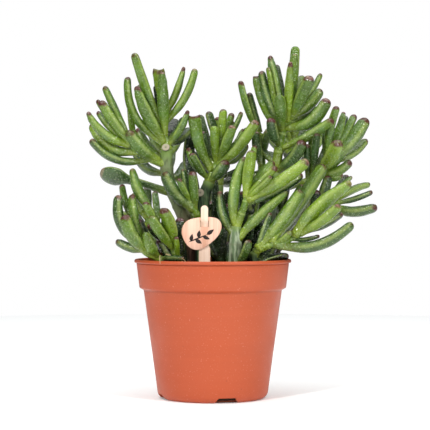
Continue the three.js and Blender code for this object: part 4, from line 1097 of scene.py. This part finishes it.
def pot_profile():
    """The pot's section, outside from the floor to the rim and back down inside."""
    lip_foot = RIM - LIP_HEIGHT
    outside = rounded([
        (0, 0),
        (FOOT_RADIUS - CORNER * 0.6, 0),
        (body_radius(CORNER * 0.8), CORNER * 0.8),
        (body_radius(CORNER * 4), CORNER * 4),
    ], CORNER * 0.5)
    shelf = rounded([
        (body_radius(BODY_TOP_Z * 0.5), BODY_TOP_Z * 0.5),
        (BODY_TOP_RADIUS, BODY_TOP_Z),
        (BAND_FOOT_RADIUS, BAND_FOOT_Z),
        (lerp(BAND_FOOT_RADIUS, BAND_TOP_RADIUS, 0.4), BAND_FOOT_Z + 7 * MM),
    ], 0.7 * MM)
    lip = rounded([
        (lerp(BAND_FOOT_RADIUS, BAND_TOP_RADIUS, 0.8), RIM - 8 * MM),
        (BAND_TOP_RADIUS, lip_foot - GROOVE),
        (BAND_TOP_RADIUS - 0.25 * MM, lip_foot),
        (LIP_RADIUS - 0.3 * MM, lip_foot + 0.1 * MM),
        (LIP_RADIUS, lip_foot + LIP_HEIGHT * 0.5),
        (LIP_RADIUS - 0.7 * MM, RIM),
        (BAND_TOP_RADIUS - WALL * 0.6, RIM - 0.15 * MM),
        (BAND_TOP_RADIUS - WALL, lip_foot),
    ], 0.8 * MM)
    inside = rounded([
        (BAND_TOP_RADIUS - WALL, RIM - LIP_HEIGHT * 1.2),
        (BAND_FOOT_RADIUS - WALL, BAND_FOOT_Z + FLOOR),
        (BODY_TOP_RADIUS - WALL, BODY_TOP_Z + FLOOR),
        (body_radius(CORNER) - WALL, FLOOR + CORNER * 0.5),
        (FOOT_RADIUS - WALL - CORNER * 0.5, FLOOR),
        (0, FLOOR),
    ], 0.6 * MM)
    return outside[:-1] + shelf[1:-1] + lip[1:-1] + inside


def notch_cutter(name, angle, grow=0):
    """An arch at the pot's foot edge, pointing outwards along the angle, larger by grow."""
    foot, top = NOTCH_FOOT_WIDTH / 2 + grow, NOTCH_TOP_WIDTH / 2 + grow
    low, high = (POCKET_FLOOR if grow else -1 * MM), NOTCH_HEIGHT + grow
    section = [(-foot, low), (foot, low), (top, high), (-top, high)]
    verts = [Matrix.Rotation(angle, 3, "Z") @ Vector((x, y, z))
             for x in (FOOT_RADIUS - NOTCH_DEPTH - grow, FOOT_RADIUS + CORNER) for y, z in section]
    return mesh_object(name, verts, prism_faces(2, len(section)), smooth=False)


def drain_cutter(name, angle):
    """An upright pin through the roof of a notch."""
    sides = 24
    centre = Matrix.Rotation(angle, 3, "Z") @ Vector((FOOT_RADIUS - NOTCH_DEPTH / 2, 0, 0))
    verts = [(centre.x + DRAIN_RADIUS * c, centre.y + DRAIN_RADIUS * s, z)
             for z in (NOTCH_HEIGHT - 3 * WALL, NOTCH_HEIGHT + 3 * WALL) for c, s in circle(sides)]
    return mesh_object(name, verts, prism_faces(2, sides), smooth=False)


def make_pot(material):
    """The turned pot, with a pocket for each notch, the notch itself and a drain hole above it."""
    pot = turned("nursery_pot", pot_profile(), POT_SEGMENTS)
    inside = turned("inside", [
        (0, POCKET_FLOOR),
        (FOOT_RADIUS - CORNER, POCKET_FLOOR),
        (body_radius(CORNER) - WALL * 0.5, CORNER),
        (body_radius(CORNER * 2) - WALL * 0.5, CORNER * 2),
        (0, CORNER * 2),
    ], POT_SEGMENTS)
    pockets, notches, drains = [], [], []
    for k in range(NOTCH_COUNT):
        angle = math.radians(NOTCH_ANGLE + 360 * k / NOTCH_COUNT)
        pockets.append(notch_cutter(f"pocket_{k}", angle, WALL))
        boolean(pockets[-1], [inside], "INTERSECT")
        notches.append(notch_cutter(f"notch_{k}", angle))
        drains.append(drain_cutter(f"drain_{k}", angle))
    boolean(pot, pockets, "UNION")
    boolean(pot, notches + drains, "DIFFERENCE")
    for tool in (inside, *pockets, *notches, *drains):
        bpy.data.objects.remove(tool)
    smooth_with_edges(pot, 35)
    place_piece(pot, material, "pot", "pot")


# ---- Soil ----

SOIL_FLOOR = Vector(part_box("soil")[0]).z
SOIL_RADIUS, _, SOIL_TOP = Vector(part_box("soil")[1])
SOIL_EDGE_Z = RIM - 10 * MM
SOIL_INSET = WALL * 1.6
SOIL_SIDES = 120
SOIL_ROWS = 34
LUMP_SCALE = 190
LUMP_HEIGHT = 1.3 * MM
CRUMBS = 620
CRUMB_SIZES = (0.5, 1.7)
GOLDEN = (1 + math.sqrt(5)) / 2
ICO_VERTS = [Vector(v).normalized() for v in (
    (-1, GOLDEN, 0), (1, GOLDEN, 0), (-1, -GOLDEN, 0), (1, -GOLDEN, 0),
    (0, -1, GOLDEN), (0, 1, GOLDEN), (0, -1, -GOLDEN), (0, 1, -GOLDEN),
    (GOLDEN, 0, -1), (GOLDEN, 0, 1), (-GOLDEN, 0, -1), (-GOLDEN, 0, 1),
)]
ICO_FACES = [
    (0, 11, 5), (0, 5, 1), (0, 1, 7), (0, 7, 10), (0, 10, 11), (1, 5, 9), (5, 11, 4),
    (11, 10, 2), (10, 7, 6), (7, 1, 8), (3, 9, 4), (3, 4, 2), (3, 2, 6), (3, 6, 8),
    (3, 8, 9), (4, 9, 5), (2, 4, 11), (6, 2, 10), (8, 6, 7), (9, 8, 1),
]


def lump(place):
    """How far the soil's surface is raised at a place."""
    return noise.fractal(place * LUMP_SCALE, 0.9, 2.0, 4) * LUMP_HEIGHT


def crumb_verts(centre, size, rng):
    """A rough, flattened crumb."""
    stretch = Vector((rng.uniform(0.7, 1.3), rng.uniform(0.7, 1.3), rng.uniform(0.5, 0.9)))
    spin = Matrix.Rotation(rng.uniform(0, 6.28), 3, "Z")
    return [tuple(centre + spin @ (v * stretch * size * rng.uniform(0.75, 1.2)))
            for v in ICO_VERTS]


def make_soil(material, rng):
    """The soil: a lumpy top strewn with crumbs, on a plain body that fills the pot."""
    crown = SOIL_TOP - SOIL_EDGE_Z
    profile = [
        (0, SOIL_FLOOR),
        (FOOT_RADIUS - WALL - CORNER * 0.6, SOIL_FLOOR + 0.1 * MM),
        (body_radius(CORNER * 2) - SOIL_INSET, CORNER * 2),
        (BODY_TOP_RADIUS - SOIL_INSET, BODY_TOP_Z - MM),
        (BAND_FOOT_RADIUS - SOIL_INSET, BAND_FOOT_Z + FLOOR + MM),
        (SOIL_RADIUS - 0.2 * MM, SOIL_EDGE_Z - MM),
    ]
    profile += [(SOIL_RADIUS * (1 - (k / SOIL_ROWS) ** 1.1),
                 SOIL_EDGE_Z + crown * math.sin(math.pi / 2 * k / SOIL_ROWS))
                for k in range(SOIL_ROWS)]
    soil = turned("soil_top", profile + [(0, SOIL_TOP)], SOIL_SIDES)
    for v in soil.data.vertices:
        if v.co.z > SOIL_EDGE_Z - 0.5 * MM:
            inward = smoothstep(SOIL_RADIUS, SOIL_RADIUS - 3 * MM, math.hypot(v.co.x, v.co.y))
            v.co.z += lump(v.co) * (0.3 + 0.7 * inward)
    crumbs = Shape()
    for _ in range(CRUMBS):
        angle = rng.uniform(0, 2 * math.pi)
        out = (SOIL_RADIUS - 2.5 * MM) * math.sqrt(rng.random())
        x, y = out * math.cos(angle), out * math.sin(angle)
        z = SOIL_EDGE_Z + crown * (1 - (out / SOIL_RADIUS) ** 2) * 0.9
        z += lump(Vector((x, y, z)))
        crumbs.add(crumb_verts(Vector((x, y, z)), rng.uniform(*CRUMB_SIZES) * MM, rng), ICO_FACES)
    place_piece(crumbs.make("soil_crumbs"), material, "soil")
    place_piece(soil, material, "soil", "soil")


# ---- Label ----

LABEL_X = -6.1 * MM
LABEL_Y = -33 * MM
DISC_WIDTH = 29.5 * MM
DISC_HEIGHT = 24.4 * MM
DISC_THICKNESS = 1.2 * MM
DISC_EDGE = 0.25 * MM
DISC_X = LABEL_X - 2.25 * MM
DISC_Z = RIM + 20 * MM
DISC_OUTLINE = [  # shares of the half width and half height, anticlockwise
    (1, 0.28), (0.98, 0.65), (0.8, 0.9), (0.45, 1), (-0.1, 0.98), (-0.6, 0.85), (-0.9, 0.55),
    (-1, 0.05), (-0.86, -0.47), (-0.62, -0.83), (-0.3, -1), (0.03, -0.92), (0.45, -0.6),
    (0.82, -0.17),
]
DISC_STEPS = 7
STICK_THICKNESS = 1 * MM
STICK_EDGE = 0.2 * MM
STICK_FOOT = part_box("label_stick")[0][2]
TONGUE_WIDTH = 5.4 * MM
TONGUE_TOP = RIM + 41 * MM
TONGUE_STEPS = 24
TIP_STEPS = 16
BLADE_WIDTH = 8.5 * MM
BLADE_TOP = RIM + 10.8 * MM
SLOT_Z = RIM + 27.2 * MM
SLOT_HEIGHT = 5 * MM
GAP = 0.3 * MM
PRINT_X = DISC_X - 1.0 * MM
PRINT_Z = DISC_Z - 3.5 * MM
PRINT_RISE = 0.03 * MM
# The print as (x, z, angle, length, width) of the stalk and of each leaf, from its middle
SPRIG = [
    (-9, -3, 22, 17, 1.1), (-7, -2.2, 78, 5.6, 2.8), (-3.6, -0.9, -32, 5.8, 2.9),
    (-1.2, 0.3, 84, 5.8, 2.9), (2, 1.4, -22, 5.6, 2.7), (5, 2.7, 36, 6.6, 3),
]
BLADE_STEPS = 12


def add_upright(shape, outline, front, back):
    """Adds a flat upright body, its outline of (x, z) anticlockwise as seen from the front."""
    verts = [(x, y, z) for y in (back, front) for x, z in outline]
    shape.add(verts, prism_faces(2, len(outline)))


def disc_outline():
    """The disc's pebble shape as a smooth closed curve."""
    points = [np.array((DISC_X + x * DISC_WIDTH / 2, DISC_Z + z * DISC_HEIGHT / 2))
              for x, z in DISC_OUTLINE]
    curve = []
    for i in range(len(points)):
        near = [points[(i + k) % len(points)] for k in (-1, 0, 1, 2)]
        curve += [tuple(catmull(*near, k / DISC_STEPS)) for k in range(DISC_STEPS)]
    return curve


def make_disc(material):
    blank, slot = Shape(), Shape()
    add_upright(blank, disc_outline(), LABEL_Y - DISC_THICKNESS / 2, LABEL_Y + DISC_THICKNESS / 2)
    half, low, high = TONGUE_WIDTH / 2 + GAP, SLOT_Z - SLOT_HEIGHT / 2, SLOT_Z + SLOT_HEIGHT / 2
    add_upright(slot, [(LABEL_X - half, low), (LABEL_X + half, low), (LABEL_X + half, high),
                       (LABEL_X - half, high)], LABEL_Y - 5 * MM, LABEL_Y + 5 * MM)
    disc, cutter = blank.make("label_disc_wood"), slot.make("slot")
    boolean(disc, [cutter], "DIFFERENCE")
    bpy.data.objects.remove(cutter)
    step = disc.modifiers.new("edges", "BEVEL")
    step.width = DISC_EDGE
    step.segments = 3
    step.limit_method = "ANGLE"
    apply_modifiers(disc)
    smooth_with_edges(disc, 40)
    place_piece(disc, material, "label_wood", "label_disc")


def stick_rows():
    """The stick's half width from its foot to its round tip, as (half width, z)."""
    half, tip_z = TONGUE_WIDTH / 2, TONGUE_TOP - TONGUE_WIDTH / 2
    rows = [(BLADE_WIDTH / 2, STICK_FOOT), (BLADE_WIDTH / 2, BLADE_TOP - 2 * MM),
            (half + 0.6 * MM, BLADE_TOP), (half, BLADE_TOP + 2 * MM)]
    rows += [(half, lerp(BLADE_TOP + 3 * MM, tip_z, k / TONGUE_STEPS))
             for k in range(TONGUE_STEPS + 1)]
    angles = (math.pi * k / TIP_STEPS for k in range(1, TIP_STEPS // 2))
    return rows + [(half * math.cos(a), tip_z + half * math.sin(a)) for a in angles]


def make_stick(material):
    """The stick as cross sections, bent so that its tongue comes forward through the slot."""
    behind = DISC_THICKNESS / 2 + GAP
    front = -behind - STICK_THICKNESS
    bend = SLOT_HEIGHT * 0.6
    rows = stick_rows()
    verts = []
    for half, z in rows:
        y = LABEL_Y + lerp(behind, front, smoothstep(SLOT_Z - bend, SLOT_Z + bend, z))
        inner, deep = half - STICK_EDGE, STICK_THICKNESS - STICK_EDGE
        section = ((-inner, 0), (inner, 0), (half, STICK_EDGE), (half, deep),
                   (inner, STICK_THICKNESS), (-inner, STICK_THICKNESS), (-half, deep),
                   (-half, STICK_EDGE))
        verts += [(LABEL_X + x, y + depth, z) for x, depth in section]
    stick = mesh_object("label_stick_wood", verts, prism_faces(len(rows), len(section)))
    stick.data.set_sharp_from_angle(angle=math.radians(40))
    place_piece(stick, material, "label_wood", "label_stick")


def print_sprig(ink):
    """A plain sprig printed on the disc: a bent stalk with five small leaves."""
    front = LABEL_Y - DISC_THICKNESS / 2 - PRINT_RISE
    shape = Shape()
    for x, z, angle, length, width in SPRIG:
        c, s = math.cos(math.radians(angle)), math.sin(math.radians(angle))
        outline = []
        for side, places in ((-1, range(BLADE_STEPS)), (1, range(BLADE_STEPS, 0, -1))):
            for k in places:
                f = k / BLADE_STEPS
                a, b = f * length, side * width / 2 * math.sin(math.pi * f ** 0.8)
                outline.append((PRINT_X + (x + a * c - b * s) * MM,
                                PRINT_Z + (z + a * s + b * c) * MM))
        add_upright(shape, outline, front, front + 2 * PRINT_RISE)
    place_piece(shape.make("label_print"), ink, "label_wood")


# ---- Dry fibres and low leaves ----

FIBRES = {  # points in millimetres and the fibre's radius
    "dry_fibre_1": ([(-35, -30, 110.6), (-29.5, -31, 108.8), (-22, -32, 104.8),
                     (-17, -32, 101.5)], 0.45),
    "dry_fibre_2": ([(-39, -42, 110), (-39, -44.8, 107.6), (-38.7, -47.4, 104)], 0.3),
    "dry_fibre_3": ([(-25, -36, 108), (-21, -37, 106.4), (-18, -37, 101)], 0.3),
}
LOW_LEAVES = [  # leaves between the stems, painted near-black as shade, in millimetres: (foot, tip, width, bow)
    ((30, -36, 102), (54, -24, 110.5), 3.4, -1),
    ((36, -14, 104), (57, -2, 108), 7, -2),
    ((6, -10, 103), (-1, -4, 122), 9, 1),
    ((34, -10, 103), (46, 0, 117), 9, 1),
    ((6, -12, 103), (9.5, -6, 130), 8, 0),
    ((-22, -14, 103), (-41, -10, 117), 9, 1),
    ((44, 6, 103), (52, 24, 109), 7, 1),
    ((24, 20, 103), (22.5, 22, 157), 9, 0),
    ((8, 24, 103), (11.5, 26, 157), 9, 0),
    ((2, 20, 103), (0.5, 22, 167), 9, 0),
    ((12, -12, 103), (12, -10, 119), 7, 0),
    ((31, 6, 103), (31, 8, 131), 8, 0),
    ((36, 20, 103), (39, 24, 154), 9, 0),
]
# the low leaves' tint is the painted deep shade
LOW_LEAF_SHADE_TINT = 0.06


def make_low_leaves(material, rng):
    for k, (foot, tip, width, bow) in enumerate(LOW_LEAVES):
        leaf = Leaf(f"low_leaf_{k + 1}", "finger", width, 0, foot, tip, bow)
        shape = Shape()
        add_leaf(shape, leaf, LOW_LEAF_SHADE_TINT, rng)
        place_piece(shape.make(leaf.name), material, "leaf")


def make_fibres(material):
    for name, (points, radius) in FIBRES.items():
        shape = Shape()
        path = [(*p, radius * (1 - 0.5 * k / (len(points) - 1))) for k, p in enumerate(points)]
        add_stem(shape, path, 0.5, random.Random(SEED), swollen=False)
        place_piece(shape.make(name), material, "stem_bark")


# ---- The plant ----

SOFT_TINT = 0.72
STEM_TINTS = {"left": 0.0, "centre": 0.7, "mid_right": 1.0, "right": 0.8, "lower_right": 0.6}
USUAL_STEM_TINT = 0.25


def make_plant(leaf_skin, bark, rng):
    leaves = grow_leaves()
    for shoot, spec in SHOOTS.items():
        green, path = spec["green"], spec["path"]
        if green:
            wood = Shape()
            add_stem(wood, path[:green + 1], STEM_TINTS.get(shoot, USUAL_STEM_TINT), rng)
            for stem, at, facing, radius in SCARS:
                if stem == shoot:
                    add_scar(wood, at, facing, radius)
            place_piece(wood.make(f"{shoot}_woody_stem"), bark, "stem_bark", f"{shoot}_stem")
        soft = Shape()
        add_stem(soft, path[green:], SOFT_TINT, rng)
        for leaf in (each for each in leaves if each.shoot == shoot):
            tint = rng.uniform(*leaf.tints)
            if leaf.alone:
                single = Shape()
                add_leaf(single, leaf, tint, rng)
                place_piece(single.make(f"{leaf.name}_blade"), leaf_skin, "leaf", leaf.name)
            else:
                add_leaf(soft, leaf, tint, rng)
        place_piece(soft.make(f"{shoot}_leaves"), leaf_skin, "leaf", f"{shoot}_shoot")


# ---- Camera, light and floor ----

CAMERA_PLACE = (0.0017, -1.268, 0.1495)
CAMERA_DROP = math.radians(0.45)
SENSOR = 36
LENS = 138.9
LIGHTS = [  # (name, place, size, power, aim)
    ("key_light", (-0.6, -1.05, 0.85), (0.035, 0.5), 10.5, (0, 0, 0.14)),
    ("fill_light", (0.85, -0.95, 0.7), (0.03, 0.5), 8, (0, 0, 0.14)),
    ("top_light", (0.0, 0.1, 1.5), (2.2, 2.2), 28.5, (0, 0.1, 0)),
]
WORLD_LIGHT = 0.2  # how bright the white world is for all but the camera
FLOOR_GLOW = 0.12
FLOOR_RADII = (0.95, 0.5, 0.2, 0)
FLOOR_SIDES = 48


def make_camera():
    data = bpy.data.cameras.new("camera")
    data.sensor_width = SENSOR
    data.lens = LENS
    data.clip_start = 0.01
    camera = bpy.data.objects.new("camera", data)
    bpy.context.scene.collection.objects.link(camera)
    camera.location = CAMERA_PLACE
    camera.rotation_euler = (math.pi / 2 - CAMERA_DROP, 0, 0)
    bpy.context.scene.camera = camera


def make_lights():
    for name, place, size, power, aim in LIGHTS:
        data = bpy.data.lights.new(name, "AREA")
        data.shape = "RECTANGLE"
        data.size, data.size_y = size
        data.energy = power
        light = bpy.data.objects.new(name, data)
        light.location = place
        towards = Vector(aim) - Vector(place)
        light.rotation_euler = towards.to_track_quat("-Z", "Y").to_euler()
        bpy.context.scene.collection.objects.link(light)


def make_world():
    """A white world that the camera sees in full and that lights the object softly."""
    world = bpy.data.worlds.new("studio")
    bpy.context.scene.world = world
    world.use_nodes = True
    nodes, links = world.node_tree.nodes, world.node_tree.links
    seen = nodes.new("ShaderNodeLightPath")
    brightness = nodes.new("ShaderNodeMapRange")
    brightness.inputs["To Min"].default_value = WORLD_LIGHT
    brightness.inputs["To Max"].default_value = 1.0
    links.new(seen.outputs["Is Camera Ray"], brightness.inputs["Value"])
    background = nodes["Background"]
    links.new(brightness.outputs["Result"], background.inputs["Strength"])
    background.inputs["Color"].default_value = WHITE


def make_floor():
    m = Nodes("studio_floor", 0.9, 0.2)
    m.set("Base Color", m.mix(m.range(m.noise(2, 2), 0.3, 0.7), *FLOOR_COLOUR))
    m.set("Emission Color", FLOOR_GLOW_COLOUR)
    m.set("Emission Strength", FLOOR_GLOW)
    floor = turned("floor", [(radius, 0) for radius in FLOOR_RADII], FLOOR_SIDES)
    floor.data.materials.append(m.material)


def main():
    make_camera()
    leaf_skin = leaf_material()
    make_plant(leaf_skin, bark_material(), random.Random(SEED))
    make_pot(pot_material())
    make_soil(soil_material(), random.Random(SEED + 1))
    make_disc(wood_material("label_disc_wood", DISC_WOOD, 240))
    make_stick(wood_material("label_stick_wood", STICK_WOOD, 200))
    print_sprig(plain_material("label_ink", INK, 300, 0.6))
    make_low_leaves(leaf_skin, random.Random(SEED + 2))
    make_fibres(plain_material("dry_fibre", DRY_FIBRE, 120, 0.8))
    make_lights()
    make_world()
    make_floor()
    bpy.context.scene.view_settings.view_transform = "Standard"
    bpy.context.scene.view_settings.look = "None"


main()
